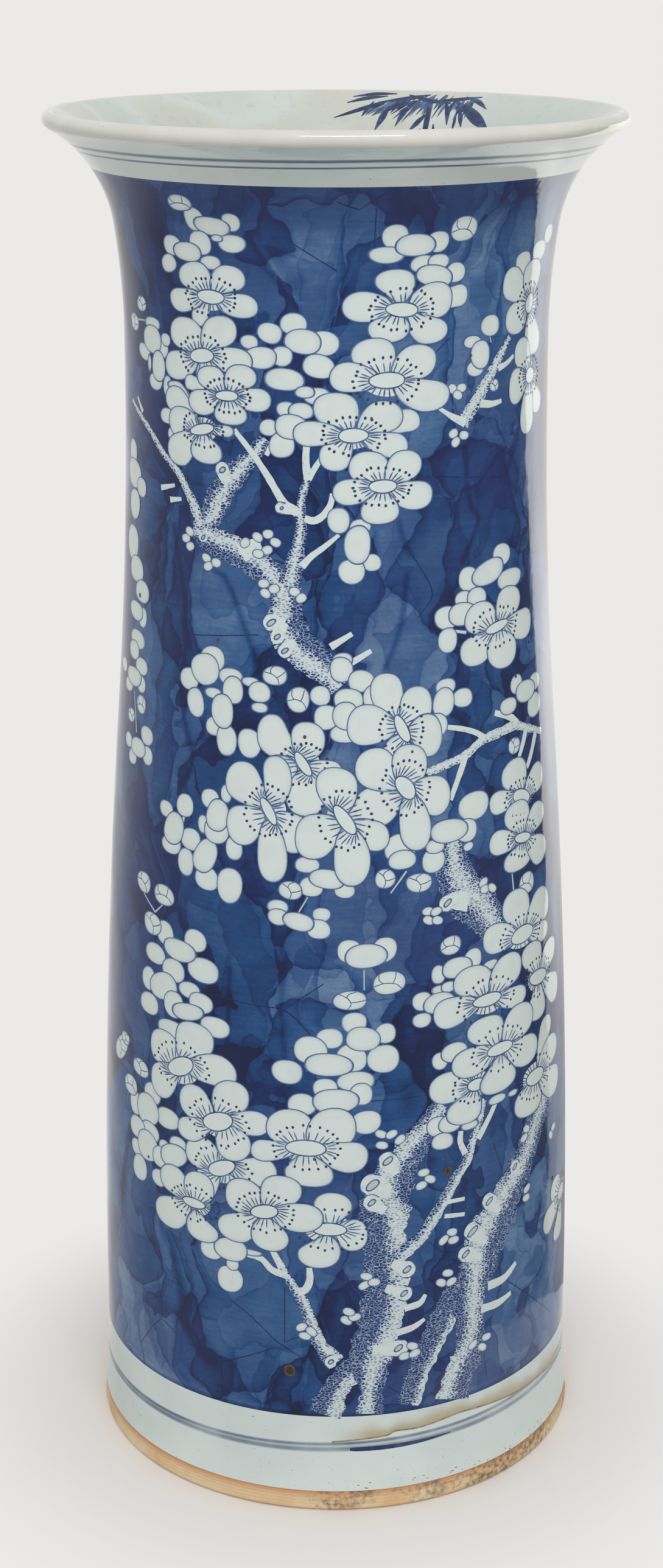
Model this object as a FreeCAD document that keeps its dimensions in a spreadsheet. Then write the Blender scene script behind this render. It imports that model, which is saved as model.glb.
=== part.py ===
"""Large porcelain sleeve vase, thrown in sections, luted, painted in cobalt and glazed.

Frame: millimetres, +Z up along the axis of turning, origin at the middle of the foot's underside.

The wall is one turned section. Its outer, glazed surface is a chain of round stretches, from the foot up:
a short hollow stretch that spreads the foot, a long swelling one, a long hollow one that stands upright at
the neck, a wide flare and a tight flare that ends in the rounded lip. Each runs on smoothly from the one
before. Every other surface of the wall is that chain set in by the glaze, the clay or both, so the skins
of glaze and the clay always lie face to face.
"""
import FreeCAD
import Part
import Sketcher
import math
import os
from enum import IntEnum, auto

# Driving sizes, in millimetres. A height is measured from the underside of the foot.
SIZES = [
    ("foot_sweep", 460.0, "radius of the stretch that spreads the foot"),
    ("foot_turn_height", 50.0, "where the foot starts to spread"),
    ("lower_sweep", 4000.0, "radius of the long swelling stretch"),
    ("waist_drop", 166.0, "from the neck down to where the swelling stretch turns into the hollow one"),
    ("upper_sweep", 2120.0, "radius of the long hollow stretch"),
    ("neck_height", 512.0, "where the wall stands upright"),
    ("neck_radius", 90.5, "outer radius there"),
    ("flare_sweep", 300.0, "radius of the wide flare"),
    ("flare_rise", 46.0, "from the neck up to where the wide flare turns into the tight one"),
    ("mouth_sweep", 54.5, "radius of the tight flare"),
    ("lip_drop", 7.64, "from where the tight flare would lie level down to the middle of the lip"),
    ("wall_thickness", 6.0, "clay of the wall"),
    ("glaze_thickness", 0.5, "glaze on each face of the wall"),
    ("foot_height", 8.0, "height of the trimmed foot rim"),
    ("foot_rim_width", 14.2, "from the foot's outer edge in to the recess"),
    ("foot_bevel", 1.5, "bevel at the foot rim's outer edge"),
    ("floor_thickness", 10.0, "clay of the floor"),
    ("slip_thickness", 1.2, "slip in each luted seam"),
    ("foot_seam_height", 41.0, "seam between the base and the lower wall"),
    ("waist_seam_height", 218.0, "seam between the two cylinders"),
    ("neck_seam_rise", 33.0, "from the neck up to the seam under the mouth"),
    ("glaze_edge_height", 10.0, "bare clay shows below this"),
    ("foot_glaze_width", 22.0, "white glaze under the foot's rings"),
    ("foot_thin_width", 1.2, "the foot's thin cobalt ring"),
    ("foot_gap_width", 1.0, "white between the foot's rings"),
    ("foot_thick_width", 2.2, "the foot's thick cobalt ring"),
    ("foot_band_width", 10.6, "white from the foot's rings to the blue ground"),
    ("neck_band_width", 7.0, "white from the blue ground to the neck's rings"),
    ("neck_thin_width", 1.0, "the neck's thin cobalt ring"),
    ("neck_gap_width", 1.4, "white between the neck's rings"),
    ("neck_thick_width", 1.6, "the neck's thick cobalt ring"),
    ("mouth_glaze_width", 4.96, "white from the neck's rings to the lip's glaze"),
]
SIZE = {name: value for name, value, note in SIZES}

# The wall in whole: clay with glaze on both faces.
FULL_WALL = "(Sizes.wall_thickness + 2 * Sizes.glaze_thickness)"
# Centre height of the swelling stretch's curve, which lies on the hollow one's radius through their joint.
LOWER_CENTRE_HEIGHT = ("(Sizes.neck_height - (Sizes.upper_sweep + Sizes.lower_sweep)"
                       " * Sizes.waist_drop / Sizes.upper_sweep)")
LOWER_CENTRE_RADIUS = ("(Sizes.neck_radius + Sizes.upper_sweep - (Sizes.upper_sweep + Sizes.lower_sweep)"
                       " * sqrt(1 - (Sizes.waist_drop / Sizes.upper_sweep) ^ 2))")
# Centre of the foot's hollow stretch, on the swelling one's radius through their joint, and the radius at
# which that stretch meets the underside.
FOOT_SLOPE = f"((Sizes.foot_turn_height - {LOWER_CENTRE_HEIGHT}) / Sizes.lower_sweep)"
FOOT_CENTRE_HEIGHT = f"({LOWER_CENTRE_HEIGHT} + (Sizes.lower_sweep + Sizes.foot_sweep) * {FOOT_SLOPE})"
FOOT_CENTRE_RADIUS = (f"({LOWER_CENTRE_RADIUS} + (Sizes.lower_sweep + Sizes.foot_sweep)"
                      f" * sqrt(1 - {FOOT_SLOPE} ^ 2))")
FOOT_RADIUS = f"({FOOT_CENTRE_RADIUS} - sqrt(Sizes.foot_sweep ^ 2 - {FOOT_CENTRE_HEIGHT} ^ 2))"
RECESS_RADIUS = f"({FOOT_RADIUS} - Sizes.foot_rim_width)"
# Centre height of the tight flare's curve, which lies on the wide flare's radius through their joint.
MOUTH_CENTRE_HEIGHT = ("(Sizes.neck_height + (Sizes.flare_sweep - Sizes.mouth_sweep)"
                       " * Sizes.flare_rise / Sizes.flare_sweep)")
# The middle of the lip, from that centre: its distance, its rise, and its height above the foot's underside.
LIP_REACH = f"(Sizes.mouth_sweep + {FULL_WALL} / 2)"
LIP_RISE = f"({LIP_REACH} - Sizes.lip_drop)"
LIP_HEIGHT = f"({MOUTH_CENTRE_HEIGHT} + {LIP_RISE})"
# Where the outside glaze ends and the lip's glaze begins.
SKIN_TOP_HEIGHT = f"({MOUTH_CENTRE_HEIGHT} + Sizes.mouth_sweep * {LIP_RISE} / {LIP_REACH})"
NECK_SEAM_HEIGHT = "(Sizes.neck_height + Sizes.neck_seam_rise)"
# Every slice that has to reach past the vase ends here.
ABOVE_THE_LIP = f"({LIP_HEIGHT} + {FULL_WALL})"
BEYOND_THE_LIP = "(Sizes.neck_radius + Sizes.mouth_sweep + Sizes.flare_sweep)"


class Point(IntEnum):
    """How an outline's constraints name the points of a stretch."""

    START = auto()
    END = auto()
    MIDDLE = auto()


START, END, MIDDLE = Point
# The number by which constraints name the axes of an outline.
AXES = -1

doc = FreeCAD.newDocument("vase")


def sizes_sheet():
    """Fill the sheet of driving sizes: name, value and meaning, the value's cell named after it."""
    sheet = doc.addObject("Spreadsheet::Sheet", "Sizes")
    for row, (name, value, note) in enumerate(SIZES, start=1):
        sheet.set(f"A{row}", name)
        sheet.set(f"B{row}", str(value))
        sheet.set(f"C{row}", note)
        sheet.setAlias(f"B{row}", name)
    doc.recompute()


def tight_flare_now():
    """The wide flare's turn at its joint, the tight flare's centre, and its turn at the lip."""
    flare_turn = math.asin(SIZE["flare_rise"] / SIZE["flare_sweep"])
    sweep_step = SIZE["flare_sweep"] - SIZE["mouth_sweep"]
    mouth_centre = (SIZE["neck_radius"] + SIZE["flare_sweep"] - sweep_step * math.cos(flare_turn),
                    SIZE["neck_height"] + sweep_step * math.sin(flare_turn))
    reach = SIZE["mouth_sweep"] + SIZE["wall_thickness"] / 2 + SIZE["glaze_thickness"]
    lip_turn = math.asin(1 - SIZE["lip_drop"] / reach)
    return flare_turn, mouth_centre, lip_turn


def turned_chain(sketch, inset, inset_text):
    """Draw the wall's chain of five round stretches, set in from the glazed surface, and fix it by sizes.

    Returns the chain's two ends, each as a stretch's number and which of its points it is. They lie at the
    foot's underside and at the lip.
    """
    upper_centre = (SIZE["neck_radius"] + SIZE["upper_sweep"], SIZE["neck_height"])
    upper_curve = SIZE["upper_sweep"] + inset
    waist_turn = math.asin(SIZE["waist_drop"] / SIZE["upper_sweep"])
    lower_curve = SIZE["lower_sweep"] - inset
    both_sweeps = SIZE["upper_sweep"] + SIZE["lower_sweep"]
    lower_centre = (upper_centre[0] - both_sweeps * math.cos(waist_turn),
                    upper_centre[1] - both_sweeps * math.sin(waist_turn))
    flare_centre = (SIZE["neck_radius"] + SIZE["flare_sweep"], SIZE["neck_height"])
    flare_curve = SIZE["flare_sweep"] + inset
    flare_turn, mouth_centre, lip_turn = tight_flare_now()
    mouth_curve = SIZE["mouth_sweep"] + inset

    foot_turn = math.asin((SIZE["foot_turn_height"] - lower_centre[1]) / SIZE["lower_sweep"])
    foot_reach = SIZE["lower_sweep"] + SIZE["foot_sweep"]
    foot_centre = (lower_centre[0] + foot_reach * math.cos(foot_turn),
                   lower_centre[1] + foot_reach * math.sin(foot_turn))
    foot_curve = SIZE["foot_sweep"] + inset
    foot_spread = math.asin(foot_centre[1] / foot_curve)

    stretches = [
        (foot_centre, foot_curve, math.pi + foot_turn, math.pi + foot_spread),
        (lower_centre, lower_curve, foot_turn, waist_turn),
        (upper_centre, upper_curve, math.pi, math.pi + waist_turn),
        (flare_centre, flare_curve, math.pi - flare_turn, math.pi),
        (mouth_centre, mouth_curve, math.pi - lip_turn, math.pi - flare_turn),
    ]
    upright = FreeCAD.Vector(0, 0, 1)
    numbers = []
    for centre, curve, start, end in stretches:
        circle = Part.Circle(FreeCAD.Vector(centre[0], centre[1], 0), upright, curve)
        numbers.append(sketch.addGeometry(Part.ArcOfCircle(circle, start, end), False))
    foot, lower, upper, flare, mouth = numbers

    def fix(kind, *rest, by):
        """Add one dimension and bind it to an expression of the sheet."""
        number = sketch.addConstraint(Sketcher.Constraint(kind, *rest))
        sketch.setExpression(f"Constraints[{number}]", by)

    def place(arc, point, across_text, up_text, across_now, up_now):
        """Dimension one point of an arc from the axis and from the underside of the foot."""
        if across_text:
            fix("DistanceX", AXES, START, arc, point, across_now, by=across_text)
        fix("DistanceY", AXES, START, arc, point, up_now, by=up_text)

    sketch.addConstraint(Sketcher.Constraint("Tangent", foot, START, lower, START))
    fix("Radius", foot, foot_curve, by=f"Sizes.foot_sweep + {inset_text}")
    sketch.addConstraint(Sketcher.Constraint("PointOnObject", foot, END, AXES))

    place(upper, MIDDLE, "Sizes.neck_radius + Sizes.upper_sweep", "Sizes.neck_height", *upper_centre)
    fix("Radius", upper, upper_curve, by=f"Sizes.upper_sweep + {inset_text}")
    place(upper, START, None, "Sizes.neck_height", None, upper_centre[1])
    waist_now = upper_centre[1] - upper_curve * math.sin(waist_turn)
    place(upper, END, None, f"Sizes.neck_height - (Sizes.upper_sweep + {inset_text})"
          " * Sizes.waist_drop / Sizes.upper_sweep", None, waist_now)

    sketch.addConstraint(Sketcher.Constraint("Tangent", lower, END, upper, END))
    fix("Radius", lower, lower_curve, by=f"Sizes.lower_sweep - {inset_text}")
    foot_now = lower_centre[1] + lower_curve * math.sin(foot_turn)
    place(lower, START, None, f"{LOWER_CENTRE_HEIGHT} + (Sizes.lower_sweep - {inset_text})"
          f" * (Sizes.foot_turn_height - {LOWER_CENTRE_HEIGHT}) / Sizes.lower_sweep", None, foot_now)

    place(flare, MIDDLE, "Sizes.neck_radius + Sizes.flare_sweep", "Sizes.neck_height", *flare_centre)
    sketch.addConstraint(Sketcher.Constraint("Coincident", flare, END, upper, START))
    joint_now = flare_centre[1] + flare_curve * math.sin(flare_turn)
    place(flare, START, None, f"Sizes.neck_height + (Sizes.flare_sweep + {inset_text})"
          " * Sizes.flare_rise / Sizes.flare_sweep", None, joint_now)

    sketch.addConstraint(Sketcher.Constraint("Tangent", mouth, END, flare, START))
    fix("Radius", mouth, mouth_curve, by=f"Sizes.mouth_sweep + {inset_text}")
    lip_now = mouth_centre[1] + mouth_curve * math.sin(lip_turn)
    place(mouth, START, None, f"{MOUTH_CENTRE_HEIGHT} + (Sizes.mouth_sweep + {inset_text})"
          f" * {LIP_RISE} / {LIP_REACH}", None, lip_now)
    return (foot, END), (mouth, START)


def new_outline(label):
    """A body with an empty outline drawn on its upright plane through the axis."""
    body = doc.addObject("PartDesign::Body", label)
    sketch = body.newObject("Sketcher::SketchObject", f"{label}_outline")
    upright_plane = [plane for plane in body.Origin.OriginFeatures if plane.Role == "XZ_Plane"][0]
    sketch.AttachmentSupport = (upright_plane, [""])
    sketch.MapMode = "FlatFace"
    return body, sketch


def turn_outline(body, sketch):
    """Turn a closed outline once round the axis."""
    doc.recompute()
    turn = body.newObject("PartDesign::Revolution", f"{body.Label}_turn")
    turn.Profile = sketch
    turn.ReferenceAxis = (sketch, ["V_Axis"])
    turn.Angle = 360
    doc.recompute()
    return body


def joining_line(sketch, outer, inner):
    """Close an outline straight across, between two ends of its chains."""
    line = sketch.addGeometry(Part.LineSegment(sketch.getPoint(*outer), sketch.getPoint(*inner)), False)
    sketch.addConstraint(Sketcher.Constraint("Coincident", line, START, *outer))
    sketch.addConstraint(Sketcher.Constraint("Coincident", line, END, *inner))


def joining_round(sketch, outer, inner):
    """Close an outline with a half round, running on smoothly from the end of its outer chain."""
    outer_end = sketch.getPoint(*outer)
    inner_end = sketch.getPoint(*inner)
    chord = inner_end - outer_end
    turn = math.atan2(-chord.y, -chord.x)
    circle = Part.Circle((outer_end + inner_end) / 2, FreeCAD.Vector(0, 0, 1), chord.Length / 2)
    lip = sketch.addGeometry(Part.ArcOfCircle(circle, turn, turn + math.pi), False)
    sketch.addConstraint(Sketcher.Constraint("Tangent", lip, START, *outer))
    sketch.addConstraint(Sketcher.Constraint("Coincident", lip, END, *inner))


def turned_shell(label, outer_inset, outer_text, inner_inset, inner_text, close_top):
    """Turn the skin between two set-in surfaces once round the axis, from the foot's underside to the lip."""
    body, sketch = new_outline(label)
    outer_low, outer_high = turned_chain(sketch, outer_inset, outer_text)
    inner_low, inner_high = turned_chain(sketch, inner_inset, inner_text)
    joining_line(sketch, outer_low, inner_low)
    close_top(sketch, outer_high, inner_high)
    return turn_outline(body, sketch)


def turned_core(label, inset, inset_text):
    """Turn everything inside one set-in surface: what floors and foot are cut from."""
    body, sketch = new_outline(label)
    low, high = turned_chain(sketch, inset, inset_text)
    high_on_axis = FreeCAD.Vector(0, sketch.getPoint(*high).y, 0)
    axis = sketch.addGeometry(Part.LineSegment(FreeCAD.Vector(0, 0, 0), high_on_axis), False)
    sketch.addConstraint(Sketcher.Constraint("Coincident", axis, START, AXES, START))
    sketch.addConstraint(Sketcher.Constraint("Vertical", axis))
    joining_line(sketch, low, (axis, START))
    joining_line(sketch, high, (axis, END))
    sketch.addConstraint(Sketcher.Constraint("Horizontal", axis, END, *high))
    return turn_outline(body, sketch)


def disc(label, radius_text, low_text, high_text):
    """A flat round slice about the axis between two heights."""
    slice_ = doc.addObject("Part::Cylinder", label)
    slice_.setExpression("Radius", radius_text)
    slice_.setExpression("Placement.Base.z", low_text)
    slice_.setExpression("Height", f"({high_text}) - ({low_text})")
    return slice_


def band(label, shell, low_text, high_text):
    """The part of a turned shell between two heights."""
    piece = doc.addObject("Part::Common", label)
    piece.Base = shell
    piece.Tool = disc(f"{label}_slice", BEYOND_THE_LIP, low_text, high_text)
    return piece


def lip_skin(label):
    """Glaze over the lip: a half-round skin about the middle of the wall where the tight flare ends."""
    body, sketch = new_outline(label)
    mouth_centre = ("(Sizes.neck_radius + Sizes.flare_sweep - (Sizes.flare_sweep - Sizes.mouth_sweep)"
                    " * sqrt(1 - (Sizes.flare_rise / Sizes.flare_sweep) ^ 2))")
    lip_radius = f"{mouth_centre} - sqrt({LIP_REACH} ^ 2 - {LIP_RISE} ^ 2)"

    flare_turn, centre_now, lip_turn = tight_flare_now()
    half_wall = SIZE["wall_thickness"] / 2 + SIZE["glaze_thickness"]
    reach_now = SIZE["mouth_sweep"] + half_wall
    lip_now = (centre_now[0] - reach_now * math.cos(lip_turn), centre_now[1] + reach_now * math.sin(lip_turn))
    half_rounds = []
    for radius, radius_text in ((half_wall, f"{FULL_WALL} / 2"),
                                (SIZE["wall_thickness"] / 2, "Sizes.wall_thickness / 2")):
        circle = Part.Circle(FreeCAD.Vector(*lip_now, 0), FreeCAD.Vector(0, 0, 1), radius)
        arc = sketch.addGeometry(Part.ArcOfCircle(circle, -lip_turn, math.pi - lip_turn), False)
        across = sketch.addConstraint(
            Sketcher.Constraint("DistanceX", AXES, START, arc, MIDDLE, lip_now[0]))
        sketch.setExpression(f"Constraints[{across}]", lip_radius)
        up = sketch.addConstraint(
            Sketcher.Constraint("DistanceY", AXES, START, arc, MIDDLE, lip_now[1]))
        sketch.setExpression(f"Constraints[{up}]", LIP_HEIGHT)
        size = sketch.addConstraint(Sketcher.Constraint("Radius", arc, radius))
        sketch.setExpression(f"Constraints[{size}]", radius_text)
        drop = radius * math.sin(lip_turn)
        for point, side in ((START, -1), (END, 1)):
            end_now = lip_now[1] + side * drop
            end = sketch.addConstraint(Sketcher.Constraint("DistanceY", AXES, START, arc, point, end_now))
            sketch.setExpression(f"Constraints[{end}]",
                                 f"{LIP_HEIGHT} + ({side}) * {radius_text} * {LIP_RISE} / {LIP_REACH}")
        half_rounds.append(arc)
    outer, inner = half_rounds
    joining_line(sketch, (outer, START), (inner, START))
    joining_line(sketch, (outer, END), (inner, END))
    return turn_outline(body, sketch)


def fused(label, *parts):
    """Several solids of one clay, joined."""
    piece = doc.addObject("Part::MultiFuse", label)
    piece.Shapes = list(parts)
    return piece


def cut(label, base, tool):
    """One solid with another taken away."""
    piece = doc.addObject("Part::Cut", label)
    piece.Base = base
    piece.Tool = tool
    return piece


def clay_pieces(clay, hollow):
    """Foot rim, base, the two cylinders and the mouth, with slip in the seams between them."""
    floor_low = "Sizes.foot_height"
    floor_high = "Sizes.foot_height + Sizes.floor_thickness"

    rim_blank = fused("foot_blank", band("foot_blank_wall", clay, "0", floor_low),
                      band("foot_blank_floor", hollow, "0", floor_low))
    rim = cut("foot_rim", rim_blank, disc("foot_recess", RECESS_RADIUS, "0", floor_low))
    foot_ring = doc.addObject("Part::Chamfer", "foot_ring")
    foot_ring.Base = rim
    doc.recompute()
    lowest = [number for number, edge in enumerate(rim.Shape.Edges, start=1)
              if edge.BoundBox.ZMax < SIZE["foot_bevel"] and len(edge.Vertexes) == 1]
    outermost = max(lowest, key=lambda number: rim.Shape.Edges[number - 1].Length)
    foot_ring.Edges = [(outermost, SIZE["foot_bevel"], SIZE["foot_bevel"])]

    half_slip = "Sizes.slip_thickness / 2"
    seams = ["Sizes.foot_seam_height", "Sizes.waist_seam_height", NECK_SEAM_HEIGHT]
    base_wall = band("base_wall", clay, floor_low, f"{seams[0]} - {half_slip}")
    floor = band("base_floor", hollow, floor_low, floor_high)
    base_dish = fused("base_dish", base_wall, floor)
    lutes = [band(name, clay, f"{seam} - {half_slip}", f"{seam} + {half_slip}")
             for name, seam in zip(("foot_lute", "waist_lute", "neck_lute"), seams)]
    lower_wall = band("lower_wall", clay, f"{seams[0]} + {half_slip}", f"{seams[1]} - {half_slip}")
    upper_wall = band("upper_wall", clay, f"{seams[1]} + {half_slip}", f"{seams[2]} - {half_slip}")
    flared_mouth = band("flared_mouth", clay, f"{seams[2]} + {half_slip}", ABOVE_THE_LIP)
    return [foot_ring, base_dish, lower_wall, upper_wall, flared_mouth] + lutes


def outer_glaze_pieces(skin):
    """The outside glaze from the foot up, one band for each colour that the painter laid."""
    upward = [("foot_glaze", "foot_glaze_width"), ("foot_line_thin", "foot_thin_width"),
              ("foot_line_gap", "foot_gap_width"), ("foot_line_thick", "foot_thick_width"),
              ("foot_band", "foot_band_width")]
    downward = [("mouth_glaze", "mouth_glaze_width"), ("neck_line_thick", "neck_thick_width"),
                ("neck_line_gap", "neck_gap_width"), ("neck_line_thin", "neck_thin_width"),
                ("neck_band", "neck_band_width")]
    pieces = []
    low = "Sizes.glaze_edge_height"
    for name, width in upward:
        high = f"{low} + Sizes.{width}"
        pieces.append(band(name, skin, low, high))
        low = high
    ground_low = low
    high = SKIN_TOP_HEIGHT
    for name, width in downward:
        low = f"{high} - Sizes.{width}"
        reached = ABOVE_THE_LIP if high == SKIN_TOP_HEIGHT else high
        pieces.append(band(name, skin, low, reached))
        high = low
    pieces.append(band("blue_ground", skin, ground_low, high))
    return pieces


def other_glaze_pieces(inner_skin, glazed_hollow):
    """Glaze over the lip, over the inside with its floor, and in the recess under the floor."""
    floor_top = "Sizes.foot_height + Sizes.floor_thickness"
    lip_glaze = lip_skin("lip_glaze")

    wall_glaze = band("inner_wall_glaze", inner_skin, floor_top, ABOVE_THE_LIP)
    floor_glaze = band("floor_glaze", glazed_hollow, floor_top, f"{floor_top} + Sizes.glaze_thickness")
    inner_glaze = fused("inner_glaze", wall_glaze, floor_glaze)

    base_glaze = disc("base_glaze", RECESS_RADIUS,
                      "Sizes.foot_height - Sizes.glaze_thickness", "Sizes.foot_height")
    return [lip_glaze, inner_glaze, base_glaze]


def check_and_write(pieces):
    """Stop on any failed object or broken solid, then write one file for each piece."""
    doc.recompute()
    for item in doc.Objects:
        if "Invalid" in item.State or "Error" in item.State:
            raise RuntimeError(f"{item.Label} failed: {item.State}")
    for piece in pieces:
        if piece.Shape.isNull() or not piece.Shape.isValid() or not piece.Shape.Solids:
            raise RuntimeError(f"{piece.Label} has no sound solid")
    os.makedirs("parts", exist_ok=True)
    for piece in pieces:
        box = piece.Shape.optimalBoundingBox()
        piece.Shape.exportStep(f"parts/{piece.Label}.step")
        print(f"{piece.Label}: {len(piece.Shape.Solids)} solid, {piece.Shape.Volume / 1000:.1f} cm3,"
              f" z {box.ZMin:.2f} to {box.ZMax:.2f}, width {box.XLength:.2f}")


sizes_sheet()
GLAZE = SIZE["glaze_thickness"]
CLAY = SIZE["wall_thickness"]
clay_inset = "Sizes.glaze_thickness"
hollow_inset = "(Sizes.glaze_thickness + Sizes.wall_thickness)"
outer_skin = turned_shell("outer_skin", 0, "0", GLAZE, clay_inset, joining_line)
clay_shell = turned_shell("clay_shell", GLAZE, clay_inset, GLAZE + CLAY, hollow_inset, joining_round)
inner_skin = turned_shell("inner_skin", GLAZE + CLAY, hollow_inset, 2 * GLAZE + CLAY, FULL_WALL, joining_line)
hollow = turned_core("hollow", GLAZE + CLAY, hollow_inset)
glazed_hollow = turned_core("glazed_hollow", 2 * GLAZE + CLAY, FULL_WALL)
glaze_nodes = outer_glaze_pieces(outer_skin) + other_glaze_pieces(inner_skin, glazed_hollow)
check_and_write(clay_pieces(clay_shell, hollow) + glaze_nodes)
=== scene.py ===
import math

import bpy
import numpy as np
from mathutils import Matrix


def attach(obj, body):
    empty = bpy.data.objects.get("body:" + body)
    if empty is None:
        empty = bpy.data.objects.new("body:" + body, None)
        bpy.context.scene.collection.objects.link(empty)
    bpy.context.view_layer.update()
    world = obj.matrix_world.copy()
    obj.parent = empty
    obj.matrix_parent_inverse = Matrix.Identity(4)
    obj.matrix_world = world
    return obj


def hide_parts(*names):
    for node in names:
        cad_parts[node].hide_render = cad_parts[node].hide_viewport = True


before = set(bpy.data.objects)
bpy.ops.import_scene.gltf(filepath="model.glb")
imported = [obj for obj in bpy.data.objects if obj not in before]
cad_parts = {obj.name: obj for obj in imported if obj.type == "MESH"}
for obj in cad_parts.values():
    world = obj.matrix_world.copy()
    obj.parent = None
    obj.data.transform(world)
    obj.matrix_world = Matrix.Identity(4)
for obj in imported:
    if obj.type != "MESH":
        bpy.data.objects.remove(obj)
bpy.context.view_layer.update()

# Camera: it stands a little over a metre in front of the vase and a hand above the lip, and looks
# down on it by about 18 degrees, level from side to side, as in the photograph.
IMAGE_HEIGHT = 2576
FOCAL_PIXELS = 4331
SENSOR = 36.0
CAMERA_PLACE = (-0.00205, -1.1317, 0.6809)
CAMERA_PITCH = 18.30


def add_object(name, data):
    """An object in the scene, at the origin, that holds a mesh, a lamp or the camera's optics."""
    made = bpy.data.objects.new(name, data)
    bpy.context.scene.collection.objects.link(made)
    return made


optics = bpy.data.cameras.new("camera")
optics.sensor_fit = "VERTICAL"
optics.sensor_width = optics.sensor_height = SENSOR
optics.lens = FOCAL_PIXELS / IMAGE_HEIGHT * SENSOR
camera = add_object("camera", optics)
camera.location = CAMERA_PLACE
camera.rotation_euler = (math.radians(90 - CAMERA_PITCH), 0, 0)
bpy.context.scene.camera = camera
bpy.context.scene.view_settings.view_transform = "Standard"


# Studio: a broad pale table that fades into a white surround, a bright soft box overhead, a weak one
# in front that the glaze doesn't mirror, and the sweep that it does, as the pale strip at its right.
def linear(shade):
    """An sRGB hex colour as linear light: c / 12.92 below 0.04045, else ((c + 0.055) / 1.055) ** 2.4."""
    parts = np.array([int(shade[at:at + 2], 16) for at in (0, 2, 4)]) / 255
    return (*np.where(parts < 0.04045, parts / 12.92, ((parts + 0.055) / 1.055) ** 2.4), 1.0)


def add_node(tree, kind, inputs=(), out=0, stops=(), **settings):
    """Adds a node and gives its output named by out. Settings are its properties, inputs, in order or
    by name, are numbers or the sockets that feed it, and stops are a ramp's places and colours."""
    made = tree.nodes.new("ShaderNode" + kind)
    for name, value in settings.items():
        setattr(made, name, value)
    for name, value in inputs.items() if isinstance(inputs, dict) else enumerate(inputs):
        if isinstance(value, bpy.types.NodeSocket):
            tree.links.new(value, made.inputs[name])
        else:
            made.inputs[name].default_value = value
    if stops:
        row = made.color_ramp.elements
        while len(row) < len(stops):
            row.new(0.5)
        for stop, (place, shade) in zip(row, stops):
            stop.position, stop.color = place, linear(shade)
    return made.outputs[out] if made.outputs else None


def new_material(name):
    """A material and its node tree, still empty."""
    made = bpy.data.materials.new(name)
    made.use_nodes = True
    made.node_tree.nodes.clear()
    return made, made.node_tree


def net(rows, columns, closed=False):
    """Faces of a grid of points, row by row, facing out when rows go up and columns go to the right."""
    row, column = np.meshgrid(np.arange(rows - 1), np.arange(columns - (0 if closed else 1)), indexing="ij")
    after = (column + 1) % columns
    return np.stack([row * columns + column, row * columns + after,
                     (row + 1) * columns + after, (row + 1) * columns + column], -1).reshape(-1, 4)


BACKGROUND, SKY_LIGHT = "ebeae8", 0.612
# the table: half its side, how far it lies below the foot, its paper, and where that fades out, in metres
TABLE_REACH, TABLE_DROP, TABLE_PAPER, TABLE_FADE = 3.0, 0.0001, "f0edea", (0.09, 0.22)
# how strongly the paper lights the vase from below, against how bright it shows
TABLE_LIGHT = 0.45

world = bpy.data.worlds.new("studio")
bpy.context.scene.world = world
world.use_nodes = True
sky = world.node_tree
sky.nodes.clear()
seen = add_node(sky, "LightPath", out="Is Camera Ray")
for kind in ("Is Glossy Ray", "Is Transmission Ray"):
    seen = add_node(sky, "Math", (seen, add_node(sky, "LightPath", out=kind)), operation="MAXIMUM")
lighting = add_node(sky, "Background", {"Color": (1, 1, 1, 1), "Strength": SKY_LIGHT})
showing = add_node(sky, "Background", {"Color": linear(BACKGROUND), "Strength": 1.0})
add_node(sky, "OutputWorld", {"Surface": add_node(sky, "MixShader", (seen, lighting, showing))})

table_top = bpy.data.meshes.new("table_top")
table_top.from_pydata([(x * TABLE_REACH, y * TABLE_REACH, -TABLE_DROP) for x, y in
                       ((-1, -1), (1, -1), (1, 1), (-1, 1))], [], [(0, 1, 2, 3)])
add_object("floor", table_top)
paper, tree = new_material("matt white paper sweep")
place = add_node(tree, "TexCoord", out="Object")
away = add_node(tree, "VectorMath", (place,), out="Value", operation="LENGTH")
fade = add_node(tree, "MapRange", (away, *TABLE_FADE), interpolation_type="SMOOTHSTEP")
matt = add_node(tree, "BsdfDiffuse", {"Color": linear(TABLE_PAPER)})
shown = add_node(tree, "Math", (add_node(tree, "LightPath", out="Is Diffuse Ray"), TABLE_LIGHT - 1, 1.0),
                 operation="MULTIPLY_ADD")
glow = add_node(tree, "Emission", {"Color": linear(BACKGROUND), "Strength": shown})
add_node(tree, "OutputMaterial", {"Surface": add_node(tree, "MixShader", (fade, matt, glow))})
table_top.materials.append(paper)

# each soft box: name, azimuth from the front in degrees, distance, height of its middle, height that
# it aims at, width, height and brightness, and whether the glaze mirrors it
SOFT_BOXES = (("overhead box", 7, 1.45, 2.1, 0.33, 1.25, 0.40, 9.5, True),
              ("front box", -4, 1.60, 0.70, 0.70, 0.90, 0.90, 1.25, False))
for title, azimuth, distance, height, aim, wide, tall, bright, mirrored in SOFT_BOXES:
    lamp = bpy.data.lights.new(title, "AREA")
    lamp.shape, lamp.size, lamp.size_y = "RECTANGLE", wide, tall
    lamp.energy = bright * math.pi * wide * tall
    box = add_object(title, lamp)
    turn = math.radians(azimuth)
    box.location = (distance * math.sin(turn), -distance * math.cos(turn), height)
    box.rotation_euler = (math.radians(90) - math.atan2(height - aim, distance), 0, turn)
    box.visible_camera, box.visible_glossy = False, mirrored

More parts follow.
